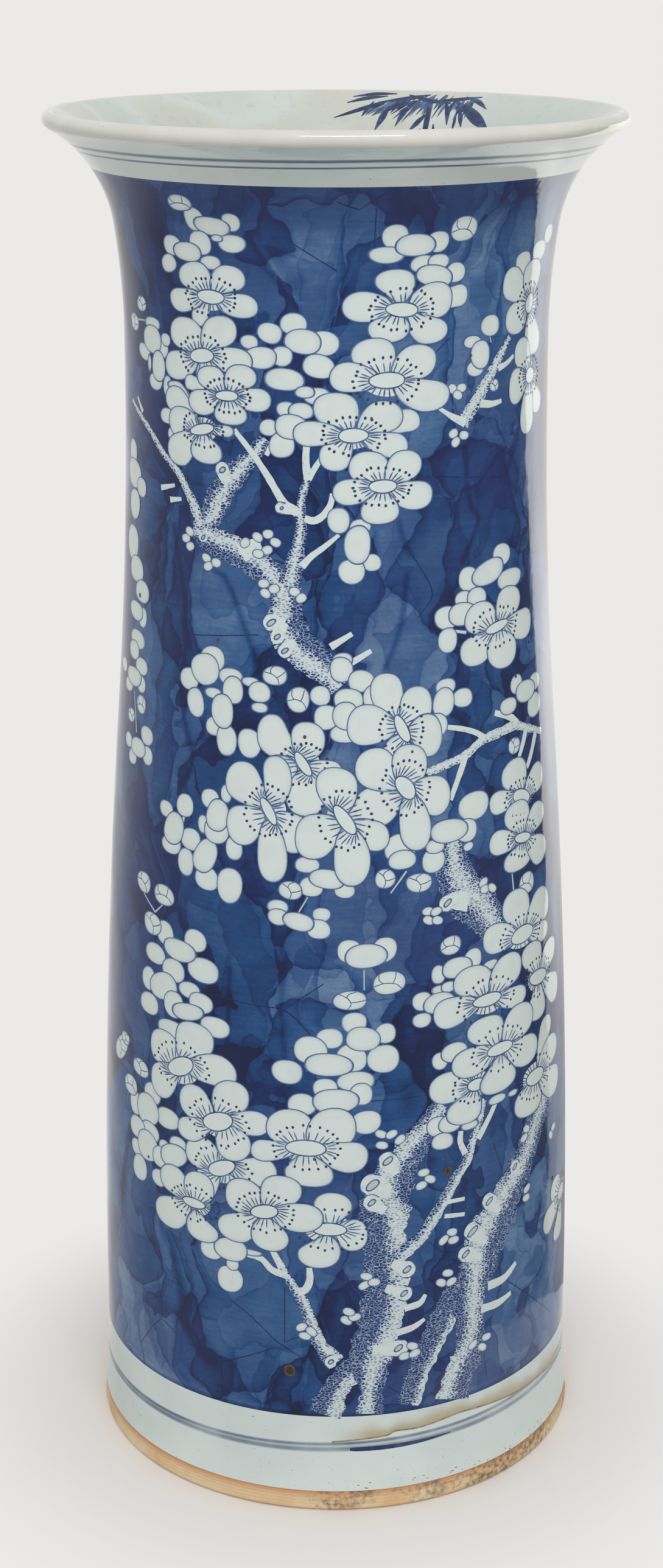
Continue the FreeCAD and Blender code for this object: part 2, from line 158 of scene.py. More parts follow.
# what the glaze mirrors: a dim room in front, then at a sharp edge the bright sweep behind on the right,
# given as azimuth and brightness about a point on the wall. Only mirrored rays meet this sheet. It
# runs out over the table from near to far, and rises from there; near the vase its light is shaded.
MIRROR_ABOUT, MIRROR_NEAR, MIRROR_SHADED, MIRROR_FAR = (0.088, -0.030), 0.13, 0.24, 0.35
MIRROR_LOW, MIRROR_HIGH, MIRROR_FLAT_ROWS, MIRROR_ROWS = 0.0008, 0.62, 10, 40
MIRROR_DIM, MIRROR_SHADE, MIRROR_STEP, SWEEP_FROM, SWEEP_WHITE = 0.25, 0.35, 0.5, 110, "fffdf8"
MIRROR_LIGHT = ((-130, 0.83), (-95, 0.5), (50, 0.5), (80, 0.42), (105, MIRROR_DIM), (123.6, MIRROR_DIM),
                (124.4, 2.45), (138, 2.3), (144, 1.9), (151, 1.45), (163, 1.0), (176, 0.83))
# how much of the brightness is left, by height in metres
MIRROR_RISE = ((0, 0.24), (0.06, 0.34), (0.13, 0.62), (0.2, 0.8), (0.28, 0.92), (0.4, 1))
# how far that edge moves on, in degrees, by its height in metres
MIRROR_LEAN = ((0, 2), (0.2, 6), (0.28, 9.5), (0.335, 6.5), (0.39, 0))
azimuth, row = np.meshgrid(np.arange(MIRROR_LIGHT[0][0], MIRROR_LIGHT[-1][0] + MIRROR_STEP, MIRROR_STEP),
                           np.arange(MIRROR_ROWS + 1))
reach = np.interp(row, (0, MIRROR_FLAT_ROWS), (MIRROR_NEAR, MIRROR_FAR))
high = np.interp(row, (MIRROR_FLAT_ROWS, MIRROR_ROWS), (MIRROR_LOW, MIRROR_HIGH))
light = np.interp(azimuth - np.interp(high, *zip(*MIRROR_LEAN)), *zip(*MIRROR_LIGHT))
share = (np.interp(high, *zip(*MIRROR_RISE))
         * np.interp(reach, (MIRROR_NEAR, MIRROR_SHADED), (MIRROR_SHADE, 1)))
light = np.where(azimuth > SWEEP_FROM, MIRROR_DIM + (light - MIRROR_DIM) * share, light)
around = np.radians(azimuth)
points = np.stack([MIRROR_ABOUT[0] + reach * np.sin(around), MIRROR_ABOUT[1] - reach * np.cos(around),
                   high], -1)
sheet = bpy.data.meshes.new("mirrored_sweep")
sheet.from_pydata(points.reshape(-1, 3).tolist(), [], net(*azimuth.shape).tolist())
sheet.attributes.new("light", "FLOAT", "POINT").data.foreach_set("value", light.astype(np.float32).ravel())
sweep = add_object("mirrored_sweep", sheet)
sweep.visible_camera = sweep.visible_diffuse = sweep.visible_shadow = sweep.visible_transmission = False
paper_glow, tree = new_material("lit paper sweep")
bright = add_node(tree, "Attribute", out="Fac", attribute_name="light")
glow = add_node(tree, "Emission", {"Color": linear(SWEEP_WHITE), "Strength": bright})
add_node(tree, "OutputMaterial", {"Surface": glow})
sheet.materials.append(paper_glow)


# Wall: thrown porcelain, turned on a wheel. Its glazed outside runs through five arcs: the foot's
# sweep, the swelling lower body, the long hollow to the neck, the flare and the mouth.
NECK_RADIUS, NECK_HEIGHT, UPPER_SWEEP, WAIST_HEIGHT = 90.5, 512.0, 2120.0, 346.0
LOWER_SWEEP, FOOT_TURN, FOOT_SWEEP = 4000.0, 50.0, 460.0
FLARE_SWEEP, FLARE_RISE, MOUTH_SWEEP = 300.0, 46.0, 54.5
WALL_THROUGH, SLOPE_STEP = 7.0, 0.05


def wall_radius(height, inset=0.0):
    """Radius in mm at a height in mm: each arc is its centre's radius less or plus the root of
    sweep squared minus the height above its centre squared. inset goes in from the glaze."""
    waist = np.arcsin((NECK_HEIGHT - WAIST_HEIGHT) / UPPER_SWEEP)
    upper = (NECK_RADIUS + UPPER_SWEEP, NECK_HEIGHT)
    both_sweeps = UPPER_SWEEP + LOWER_SWEEP
    lower = (upper[0] - both_sweeps * np.cos(waist), upper[1] - both_sweeps * np.sin(waist))
    bend = np.arcsin((FOOT_TURN - lower[1]) / LOWER_SWEEP)
    foot = (lower[0] + (LOWER_SWEEP + FOOT_SWEEP) * np.cos(bend),
            lower[1] + (LOWER_SWEEP + FOOT_SWEEP) * np.sin(bend))
    rise = np.arcsin(FLARE_RISE / FLARE_SWEEP)
    flare = (NECK_RADIUS + FLARE_SWEEP, NECK_HEIGHT)
    mouth = (flare[0] - (FLARE_SWEEP - MOUTH_SWEEP) * np.cos(rise),
             flare[1] + (FLARE_SWEEP - MOUTH_SWEEP) * np.sin(rise))
    height = np.asarray(height, float)

    def hollow(centre, sweep):
        return centre[0] - np.sqrt(np.maximum((sweep + inset) ** 2 - (height - centre[1]) ** 2, 0))

    swell = lower[0] + np.sqrt(np.maximum((LOWER_SWEEP - inset) ** 2 - (height - lower[1]) ** 2, 0))
    joins = (*(lower[1] + (LOWER_SWEEP - inset) * np.sin(lean) for lean in (bend, waist)),
             NECK_HEIGHT, flare[1] + (FLARE_SWEEP + inset) * np.sin(rise))
    return np.select([height < join for join in joins], [hollow(foot, FOOT_SWEEP), swell,
                     hollow(upper, UPPER_SWEEP), hollow(flare, FLARE_SWEEP)], hollow(mouth, MOUTH_SWEEP))


def wall_slope(height, inset=0.0):
    """How fast the radius grows with height: its difference over two small steps."""
    rise = wall_radius(height + SLOPE_STEP, inset) - wall_radius(height - SLOPE_STEP, inset)
    return rise / (2 * SLOPE_STEP)


def degree_at(height, inset=0.0):
    """Length in mm of one degree of turn round the wall: radius times pi over 180."""
    return np.pi / 180 * wall_radius(height, inset)


def on_wall(turn, height, lift=0.0, inset=0.0):
    """Points and normals on the wall, in mm: turn in degrees from the front, plus to the right. The
    normal leans by the slope of the radius; with an inset both face into the vase."""
    slope = wall_slope(height, inset)
    level = (-1.0 if inset else 1.0) / np.sqrt(1 + slope ** 2)
    angle = np.radians(turn)
    out, up = wall_radius(height, inset) + lift * level, height - lift * level * slope
    points = np.stack([out * np.sin(angle), -out * np.cos(angle), up + 0 * angle], -1)
    normals = np.stack([level * np.sin(angle), -level * np.cos(angle), -level * slope + 0 * angle], -1)
    return points, normals


def add_piece(name, points, faces, material, normals=None, attributes=None, bake=None, nodes=()):
    """A mesh from points in mm and arrays of equal-sided faces, with point attributes and a UV per corner."""
    mesh = bpy.data.meshes.new(name)
    corners = np.concatenate([part.ravel() for part in faces]).astype(np.int32)
    sides = np.concatenate([np.full(len(part), part.shape[1]) for part in faces])
    mesh.vertices.add(len(points))
    mesh.vertices.foreach_set("co", (np.asarray(points) * 0.001).astype(np.float32).ravel())
    mesh.loops.add(len(corners))
    mesh.loops.foreach_set("vertex_index", corners)
    mesh.polygons.add(len(sides))
    mesh.polygons.foreach_set("loop_start", np.concatenate([[0], np.cumsum(sides)[:-1]]).astype(np.int32))
    mesh.polygons.foreach_set("use_smooth", np.full(len(sides), normals is not None))
    mesh.update(calc_edges=True)
    mesh.validate()
    for title, values in (attributes or {}).items():
        held = mesh.attributes.new(title, "FLOAT", "POINT")
        held.data.foreach_set("value", values.astype(np.float32).ravel())
    if bake is not None:
        mesh.uv_layers.new(name="OFBake").data.foreach_set("uv", bake.astype(np.float32).ravel())
    if normals is not None:
        mesh.normals_split_custom_set_from_vertices(np.asarray(normals, np.float32))
    mesh.materials.append(material)
    made = add_object(name, mesh)
    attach(made, "root")
    if nodes:
        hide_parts(*nodes)


# Clay: porcelain body left bare on the foot rim, which the kiln has toasted to tan and orange. It
# was trimmed on the wheel, so it has fine rings, and years of standing have left dirt in it.
SEGMENTS = 480
FOOT_INNER, FOOT_BEVEL, GLAZE_FOOT, GLAZE_COAT = 98.0, 1.5, 10.0, 0.5
CLAY_TAN, CLAY_PALE, CLAY_ORANGE, CLAY_DIRT = "dbb688", "e2cda6", "d39a6c", "7d6753"
# in metres: heights between which the clay turns orange, and ways to the right between which it gets
# dirtier, by how much, and how deep its rings are
TOASTED, HANDLED, HANDLED_DIRT, CLAY_RELIEF = (0.0055, 0.0092), (0.066, 0.079), 0.12, 0.0002


def turned(name, profile, material, nodes=(), normals=None):
    """A profile of radius and height turned about the axis; an end on the axis closes to one point."""
    radius, height = np.array(profile, float).T
    turns = np.arange(SEGMENTS) * 2 * np.pi / SEGMENTS
    poles = [end for end in (0, -1) if radius[end] == 0]
    body = slice(1 if 0 in poles else 0, len(radius) - (1 if -1 in poles else 0))

    def spun(outward, upward):
        return np.stack([outward[body, None] * np.sin(turns), -outward[body, None] * np.cos(turns),
                         upward[body, None] + 0 * turns], -1).reshape(-1, 3)

    points = spun(radius, height)
    faces = [net(len(points) // SEGMENTS, SEGMENTS, closed=True)]
    step = np.arange(SEGMENTS)
    last = len(points) - SEGMENTS
    for end in poles:
        points = np.vstack([points, [[0, 0, height[end]]]])
        base = 0 if end == 0 else last
        fan = np.stack([base + step, base + (step + 1) % SEGMENTS, np.full(SEGMENTS, len(points) - 1)], -1)
        faces.append(fan if end == -1 else fan[:, [1, 0, 2]])
    if normals is not None:
        bent = np.array(normals, float)
        bent /= np.linalg.norm(bent, axis=1, keepdims=True)
        normals = np.vstack([spun(*bent.T)] + [[[0, 0, 1.0]] for end in poles])
    add_piece(name, points, faces, material, normals, nodes=nodes)


def blended(tree, amount, under, over):
    """Two colours, hex or sockets, mixed by a socket's amount from 0 to 1."""
    under, over = (linear(colour) if isinstance(colour, str) else colour for colour in (under, over))
    return add_node(tree, "Mix", {"Factor": amount, "A": under, "B": over}, "Result", data_type="RGBA")


def mottled(tree, place, scale, detail, *stops):
    """Colours that drift into each other: noise of that scale per metre, through a ramp of stops."""
    drift = add_node(tree, "TexNoise", {"Vector": place, "Scale": scale, "Detail": detail})
    return add_node(tree, "ValToRGB", (drift,), stops=stops)


def patchy(tree, place, scale, detail, low, high, least=0.0, most=1.0):
    """An amount in patches: it goes from least to most as noise of that scale goes from low to high."""
    drift = add_node(tree, "TexNoise", {"Vector": place, "Scale": scale, "Detail": detail})
    return add_node(tree, "MapRange", (drift, low, high, least, most))


def bare_clay(name):
    """Fired clay: matt, with trimming rings 0.8 mm apart, grit of half a millimetre and dirt that is
    thicker at the right, where it was handled."""
    made, tree = new_material(name)
    place = add_node(tree, "TexCoord", out="Object")
    tan = mottled(tree, place, 55.0, 3.0, (0.35, CLAY_TAN), (0.62, CLAY_PALE))
    toast = add_node(tree, "MapRange", (add_node(tree, "SeparateXYZ", (place,), out="Z"), *TOASTED))
    specks = add_node(tree, "TexNoise", {"Vector": place, "Scale": 420.0, "Detail": 4.0})
    grime = add_node(tree, "TexNoise", {"Vector": place, "Scale": 30.0, "Detail": 5.0})
    rightward = add_node(tree, "VectorMath", (place, (0.7, -0.7, 0.0)), "Value", operation="DOT_PRODUCT")
    handled = add_node(tree, "MapRange", (rightward, *HANDLED, 0.0, HANDLED_DIRT))
    dirt = add_node(tree, "Math", (specks, grime, handled), operation="MULTIPLY_ADD")
    dirty = add_node(tree, "MapRange", (dirt, 0.35, 0.56))
    soiled = blended(tree, dirty, blended(tree, toast, tan, CLAY_ORANGE), CLAY_DIRT)
    rings = add_node(tree, "TexWave", {"Vector": place, "Scale": 200.0, "Distortion": 2.0}, "Fac",
                     bands_direction="Z")
    relief = add_node(tree, "Math", (rings, specks), operation="ADD")
    bump = add_node(tree, "Bump", {"Height": relief, "Strength": 0.6, "Distance": CLAY_RELIEF})
    shell = add_node(tree, "BsdfPrincipled", {"Base Color": soiled, "Roughness": 0.85, "Normal": bump})
    add_node(tree, "OutputMaterial", {"Surface": shell})
    return made


biscuit = bare_clay("toasted porcelain biscuit")
inside_clay = bare_clay("fired clay under the glaze")
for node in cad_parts.values():
    node.data.materials.clear()
    node.data.materials.append(inside_clay)
clay_heights = np.array([FOOT_BEVEL, 4.0, 7.0, GLAZE_FOOT])
foot_outer = wall_radius(clay_heights, GLAZE_COAT) + 0.02
turned("foot_ring_clay", [(FOOT_INNER, 8.0), (FOOT_INNER, 1.0), (FOOT_INNER + 1.0, 0.0),
                          (foot_outer[0] - FOOT_BEVEL, 0.0), *zip(foot_outer, clay_heights)],
       biscuit, nodes=["foot_ring"])


# Glaze: one clear, glossy coat over everything but the foot rim. It is half a millimetre thick, a
# little green where it lies on white clay, and it has lain down in slow, slight waves.
WHITE_DEEP, WHITE_CLEAR, STAIN_TAN = "ced9d5", "dae3df", "b7a988"
GLAZE_IOR, GLAZE_ROUGHNESS, GLAZE_RELIEF = 1.5, 0.07, 0.0012


def glazed(name, paint):
    """Colour under clear glaze. paint(tree, place) gives the colour's socket; the glaze adds its
    gloss, waves about 40 mm long and a faint peel of 3 mm."""
    made, tree = new_material(name)
    place = add_node(tree, "TexCoord", out="Object")
    waves = add_node(tree, "TexNoise", {"Vector": place, "Scale": 25.0, "Detail": 1.0})
    peel = add_node(tree, "TexNoise", {"Vector": place, "Scale": 330.0, "Detail": 0.0})
    relief = add_node(tree, "Math", (peel, 0.02, waves), operation="MULTIPLY_ADD")
    bump = add_node(tree, "Bump", {"Height": relief, "Strength": 1.0, "Distance": GLAZE_RELIEF})
    shell = add_node(tree, "BsdfPrincipled", {"Base Color": paint(tree, place), "Roughness": GLAZE_ROUGHNESS,
                                              "IOR": GLAZE_IOR, "Normal": bump})
    add_node(tree, "OutputMaterial", {"Surface": shell})
    return made


def read(tree, title):
    """A point attribute's number."""
    return add_node(tree, "Attribute", out="Fac", attribute_name=title)


def bare_white(tree, place, deep=WHITE_DEEP, clear=WHITE_CLEAR):
    """Porcelain seen through the glaze: two whites in patches 30 mm across, with pinholes."""
    pinholes = patchy(tree, place, 900.0, 1.0, 0.74, 0.80)
    return blended(tree, pinholes, mottled(tree, place, 33.0, 2.0, (0.3, deep), (0.7, clear)), "8d8f8c")


# the foot's rings, as the painter laid them, not quite level: height of the middle in metres, rise to
# the right per metre, half width, colour and strength; the first is the thin cobalt between the two
FOOT_RINGS = ((0.0321, 0.027, 0.0021, "9aabb3", 0.5), (0.03345, 0.0318, 0.0009, "43587c", 0.85),
              (0.0307, 0.0225, 0.0013, "5c7086", 0.85))
# the foot's whites: the glaze's own two whites painted a little lighter, as painted light on the low foot
FOOT_LIT_DEEP, FOOT_LIT_CLEAR = "d3dedb", "dee8e5"


def foot_paint(tree, place):
    """White at the foot, painted a little lighter than the same white elsewhere as painted light, a cobalt ring
    where z - rise * x comes near each ring's middle, faded in and out by noise, and the kiln crack's stain over
    them."""
    colour = bare_white(tree, place, FOOT_LIT_DEEP, FOOT_LIT_CLEAR)
    x, z = (add_node(tree, "SeparateXYZ", (place,), out=axis) for axis in "XZ")
    uneven = patchy(tree, place, 45.0, 3.0, 0.32, 0.62, least=0.55)
    for middle, rise, half, blue, strength in FOOT_RINGS:
        tilted = add_node(tree, "Math", (x, -rise, z), operation="MULTIPLY_ADD")
        off = add_node(tree, "Math", (tilted, middle), operation="SUBTRACT")
        off = add_node(tree, "Math", (off,), operation="ABSOLUTE")
        ring = add_node(tree, "MapRange", (off, half * 0.3, half * 1.3, strength, 0.0),
                        interpolation_type="SMOOTHSTEP")
        colour = blended(tree, add_node(tree, "Math", (ring, uneven), operation="MULTIPLY"), colour, blue)
    return blended(tree, read(tree, "stain"), colour, STAIN_TAN)


LINE_BLUE, LINE_SOFT = "586a85", "9ba8b0"


def ring_paint(tree, place):
    """A ring of cobalt laid on the turning vase: darkest in its middle, feathered into the white."""
    uneven = add_node(tree, "TexNoise", {"Vector": place, "Scale": 60.0, "Detail": 3.0})
    nudged = add_node(tree, "Math", (uneven, 0.30, read(tree, "across")), operation="MULTIPLY_ADD")
    line = add_node(tree, "ValToRGB", (nudged,), stops=(
        (0.12, WHITE_DEEP), (0.32, LINE_SOFT), (0.55, LINE_BLUE), (0.80, LINE_BLUE), (1.0, LINE_SOFT)))
    return blended(tree, read(tree, "stain"), line, STAIN_TAN)


white_glaze = glazed("clear glaze on white porcelain", bare_white)
foot_glaze = glazed("clear glaze on the ringed foot", foot_paint)
ring_glaze = glazed("cobalt ring under clear glaze", ring_paint)

# the crack in the kiln at the lower right: turn and height along it, with the tan stain above it
CRACK = np.array([(-1, 34.6), (6, 35.6), (12, 36.5), (14, 38.2), (20, 38), (30, 40.2), (37, 39.3),
                  (50, 37), (60, 36), (70, 34), (78, 31.5)])
# how brown it is at most, how far it fades up and down in mm, and in from either end in degrees
STAIN_MOST, STAIN_UP, STAIN_DOWN, STAIN_ENDS = 0.92, 4.6, 0.5, (9, 8)


def stain_at(turn, height):
    """How brown the glaze is: strongest on the crack, gone 6 mm above it and 0.6 mm below, none
    beyond its ends."""
    above = height - np.interp(turn, *CRACK.T)
    ends = (np.clip((turn - CRACK[0, 0]) / STAIN_ENDS[0], 0, 1)
            * np.clip((CRACK[-1, 0] - turn) / STAIN_ENDS[1], 0, 1))
    ragged = 1 + 0.25 * np.sin(turn * 0.31) + 0.12 * np.sin(turn * 0.83 + 1)
    fade = np.where(above > 0, np.exp(-(above / (STAIN_UP * ragged)) ** 2.2), np.exp(-(above / STAIN_DOWN) ** 2))
    return np.clip(STAIN_MOST * ends * fade, 0, 1)


# the bands' borders sway by a hand's unsteadiness, in mm, but not where a band meets clay or ground
SWAY_LEFT = ((10, 0), (30, 1), (38, 1), (47, 0), (581, 0), (587, 1), (593, 1), (600, 0))


def band(node_name, low, high, material, rows):
    """One turned band of the glaze, its upper and lower borders folded half a millimetre into the wall."""
    turns = np.arange(SEGMENTS) * 360 / SEGMENTS
    heights = np.linspace(low, high, rows)
    turn, height = np.meshgrid(np.where(turns > 180, turns - 360, turns), heights)
    sway = 0.22 * np.sin(np.radians(turn) * 2 + 0.7) + 0.12 * np.sin(np.radians(turn) * 5)
    moved = height + sway * np.interp(height, *zip(*SWAY_LEFT))
    sides = [on_wall(turn[:1], moved[:1], -GLAZE_COAT), on_wall(turn, moved),
             on_wall(turn[-1:], moved[-1:], -GLAZE_COAT)]
    points, normals = (np.concatenate(parts).reshape(-1, 3) for parts in zip(*sides))
    share = np.concatenate([[0], (heights - low) / (high - low), [1]])[:, None] + 0 * turn[:1]
    stain = np.pad(stain_at(turn, moved), ((1, 1), (0, 0)))
    add_piece(node_name + "_coat", points, [net(rows + 2, SEGMENTS, closed=True)], material, normals,
              {"across": share, "stain": stain}, nodes=[node_name])


# each band: lower border, slot, material and rows of points; the next band's lower border is its upper one
for bands in ((("foot_glaze", GLAZE_FOOT, "white_glaze", foot_glaze, 24),
               ("foot_line_thin", 32.0, "cobalt_line", foot_glaze, 5),
               ("foot_line_gap", 33.2, "white_glaze", foot_glaze, 4),
               ("foot_line_thick", 34.2, "cobalt_line", foot_glaze, 7),
               ("foot_band", 36.4, "white_glaze", foot_glaze, 22), (None, 47.0)),
              (("neck_band", 581.0, "white_glaze", white_glaze, 12),
               ("neck_line_thin", 588.0, "cobalt_line", ring_glaze, 4),
               ("neck_line_gap", 589.0, "white_glaze", white_glaze, 4),
               ("neck_line_thick", 590.4, "cobalt_line", ring_glaze, 5),
               ("mouth_glaze", 592.0, "white_glaze", white_glaze, 10), (None, 597.0))):
    for (node_name, low, slot, material, rows), above in zip(bands, bands[1:]):
        band(node_name, low, above[1], material, rows)


# Lip and inside: the glaze is thin and creamy over the rounded lip, with specks of iron, and greyer
# inside the mouth, where it has run down and pooled. Under the floor it lies in the foot's recess.
LIP_RADIUS, LIP_HEIGHT, LIP_ROUND, MOUTH_CENTRE = 119.13, 600.0, 3.5, (147.90, 549.64)
INNER_TOP, INNER_FLOOR, BASE_RECESS = 603.04, 18.5, 7.5
# the corner between the inner wall and the floor: height, and how far in from the wall
INNER_CORNER = ((20.5, 0), (19.3, 0.8), (18.7, 2.6))


def lip_paint(tree, place):
    """Cream white in soft patches 22 mm across, with pinholes of iron."""
    iron = patchy(tree, place, 700.0, 2.0, 0.76, 0.82)
    return blended(tree, iron, mottled(tree, place, 45.0, 3.0, (0.3, "d3d3cb"), (0.7, "dfdfd8")), "8a7a66")


def inside_paint(tree, place):
    """Grey green white with a beige stain in broad soft patches 60 mm across."""
    grey = mottled(tree, place, 16.0, 2.0, (0.42, "cfd7d2"), (0.50, "d7ded9"), (0.60, "d3d5cb"))
    return blended(tree, patchy(tree, place, 260.0, 3.0, 0.55, 0.75, most=0.35), grey, "b3beba")


reach = math.degrees(math.atan2(LIP_HEIGHT - MOUTH_CENTRE[1], LIP_RADIUS - MOUTH_CENTRE[0]))
facing = [(math.cos(a), math.sin(a)) for a in np.radians(np.linspace(reach - 180, reach, 26))]
turned("lip_roll", [(LIP_RADIUS + LIP_ROUND * out, LIP_HEIGHT + LIP_ROUND * up) for out, up in facing],
       glazed("thin glaze on the lip", lip_paint), ["lip_glaze"], facing)
corner_heights, corner_insets = np.array(INNER_CORNER).T
down = np.concatenate([np.linspace(INNER_TOP, 545, 50), np.linspace(540, 22, 80), corner_heights])
inner_radius = wall_radius(down, WALL_THROUGH)
inner_radius[-3:] = inner_radius[-4] - corner_insets
rows_in = [*zip(inner_radius, down)] + [(radius, INNER_FLOOR) for radius in (98, 90, 60, 30, 12, 0)]
facing_in = ([(-1, slope) for slope in wall_slope(down, WALL_THROUGH)[:-3]]
             + [(-1, 0.4), (-1, 1), (-0.4, 1)] + [(0, 1)] * 6)
turned("inner_coat", rows_in, glazed("glaze inside the mouth", inside_paint),
       ["inner_glaze"], facing_in)
turned("base_coat", [(radius, BASE_RECESS) for radius in (0, 60, FOOT_INNER)], white_glaze,
       ["base_glaze"], [(0, -1)] * 3)


# Cobalt ground: the painter washed the body panel by panel, each stroke of cobalt dried with a
# darker rim on one side, and the panels overlap in tall, ragged patches some 20 mm wide.
GROUND_LOW, GROUND_HIGH = 47.0, 581.0
GROUND_STEP_TURN, GROUND_ROWS, SECTORS = 0.6, 446, 6
COBALT = ((0.0, "000f3a"), (0.25, "002055"), (0.50, "0f457c"), (0.75, "3b6394"), (1.0, "6f8cae"))
COBALT_VIOLET = "22306a"
# layers of panels: width and height in metres, shift, how far their shades differ, pooled rim
PANELS = ((0.036, 0.085, 0.0, 0.36, 0.36), (0.055, 0.130, 7.3, 0.26, 0.28), (0.019, 0.045, 3.1, 0.13, 0.14))
# clouds in the wash: size per metre, detail, strength
CLOUDS = ((13.0, 2.0, 0.30), (75.0, 3.0, 0.34), (700.0, 3.0, 0.16))
# what bends the borders of the panels: size per metre, and how far in metres
BENDS = ((24.0, 0.046), (110.0, 0.008))
# brush streaks: how many per metre round the body and up it, and their strength
STREAKS, STREAK_DEPTH = (90.0, 90.0, 800.0), 0.20
# a panel's rim: how far its two parts reach in, as a share of the panel, and each one's part of the depth
RIM = ((0.06, 0.6), (0.35, 0.4))
GROUND_DEPTH = 0.60
# the darker band below the neck: height it starts at, mm to its full tone, tone; the dark line at the
# foot: mm to none, tone; the paler line on it: height, half width, tone; and how soft a pooled stroke is
NECK_DARK, FOOT_DARK, FOOT_PALE, POOL_SOFT = (562, 8, 0.16), (1.8, 0.35), (49.8, 0.9, 0.12), 0.4
# how near a panel's edge its shade begins to pass into the next one's, and how it does at the edge
PANEL_MEET, PANEL_EDGE = 0.05, 0.5
VIOLET_FROM, VIOLET_TO, VIOLET_MOST = 0.545, 0.575, 0.4


def along(turn, height, path):
    """Distance in mm from each point to a broken line of (turn, height) places."""
    scale = degree_at(height)
    best = np.full(turn.shape, 1e9)
    for (t0, h0), (t1, h1) in zip(path[:-1], path[1:]):
        ax, ay, bx, by = (turn - t0) * scale, height - h0, (t1 - t0) * scale, h1 - h0
        share = np.clip((ax * bx + ay * by) / (bx * bx + by * by + 1e-9), 0, 1)
        best = np.minimum(best, np.hypot(ax - share * bx, ay - share * by))
    return best


# pooled strokes seen in the wash: half width in mm, depth of tone, then turn and height along each
POOLED = ((0.9, 0.3, ((-47, 440), (-46, 432), (-44, 420), (-42.5, 410), (-42, 390), (-43, 370), (-42, 360),
    (-40, 352), (-38.5, 345), (-39, 338), (-42, 330))), (1, 0.3, ((-33, 425), (-30, 423), (-28, 418),
    (-26, 411), (-23.5, 401), (-21, 392), (-20, 385))), (2.3, 0.34, ((-46, 125), (-43, 117), (-41, 108),
    (-40, 100), (-39, 90), (-39.5, 82), (-37, 75), (-34, 69), (-30, 66))), (0.8, 0.3, ((35, 475), (35.5, 460),
    (37, 450), (39.5, 445), (38.5, 440), (36, 433), (34, 428))), (0.8, 0.26, ((56, 475), (54, 470), (51, 463),
    (50, 460))), (0.8, 0.26, ((52, 457), (55, 452))), (0.8, 0.26, ((16, 447), (17, 440), (19, 433))), (0.8,
    0.28, ((18, 425), (17.5, 415), (16.5, 405), (14.5, 395), (12, 386))), (1, 0.24, ((-21, 560), (-17, 550),
    (-13, 540), (-10, 535))), (0.8, 0.22, ((-26, 255), (-26.5, 220), (-25.5, 190), (-26, 150))), (0.8, 0.22,
    ((-12.5, 260), (-13, 240), (-12, 215))), (4.5, 0.2, ((-15, 214), (-15, 213))), (2.2, 0.55, ((-9, 51),
    (-8.6, 50))), (4, 0.2, ((29, 416), (29, 410))), (5, 0.2, ((25, 566), (25, 560))), (4.5, 0.18, ((33, 360),
    (33, 352))), (4, 0.2, ((46, 575), (47, 571))), (5.5, 0.14, ((17, 201), (17, 193))), (0.7, -0.3, ((-20, 560),
    (-16, 550), (-12, 540), (-9, 535))))


def wash(turn, height):
    """What the painter did by plan: pooled strokes, a darker band below the neck and above the foot."""
    tone = 0 * turn
    for half, depth, path in POOLED:
        way = along(np.where(turn > 180, turn - 360, turn), height, path)
        tone -= depth * np.exp(-(way / (half + POOL_SOFT)) ** 2)
    tone -= NECK_DARK[2] * np.clip((height - NECK_DARK[0]) / NECK_DARK[1], 0, 1)
    tone -= FOOT_DARK[1] * np.clip(1 - np.abs(height - GROUND_LOW) / FOOT_DARK[0], 0, 1)
    return tone + FOOT_PALE[2] * np.exp(-((height - FOOT_PALE[0]) / FOOT_PALE[1]) ** 2)


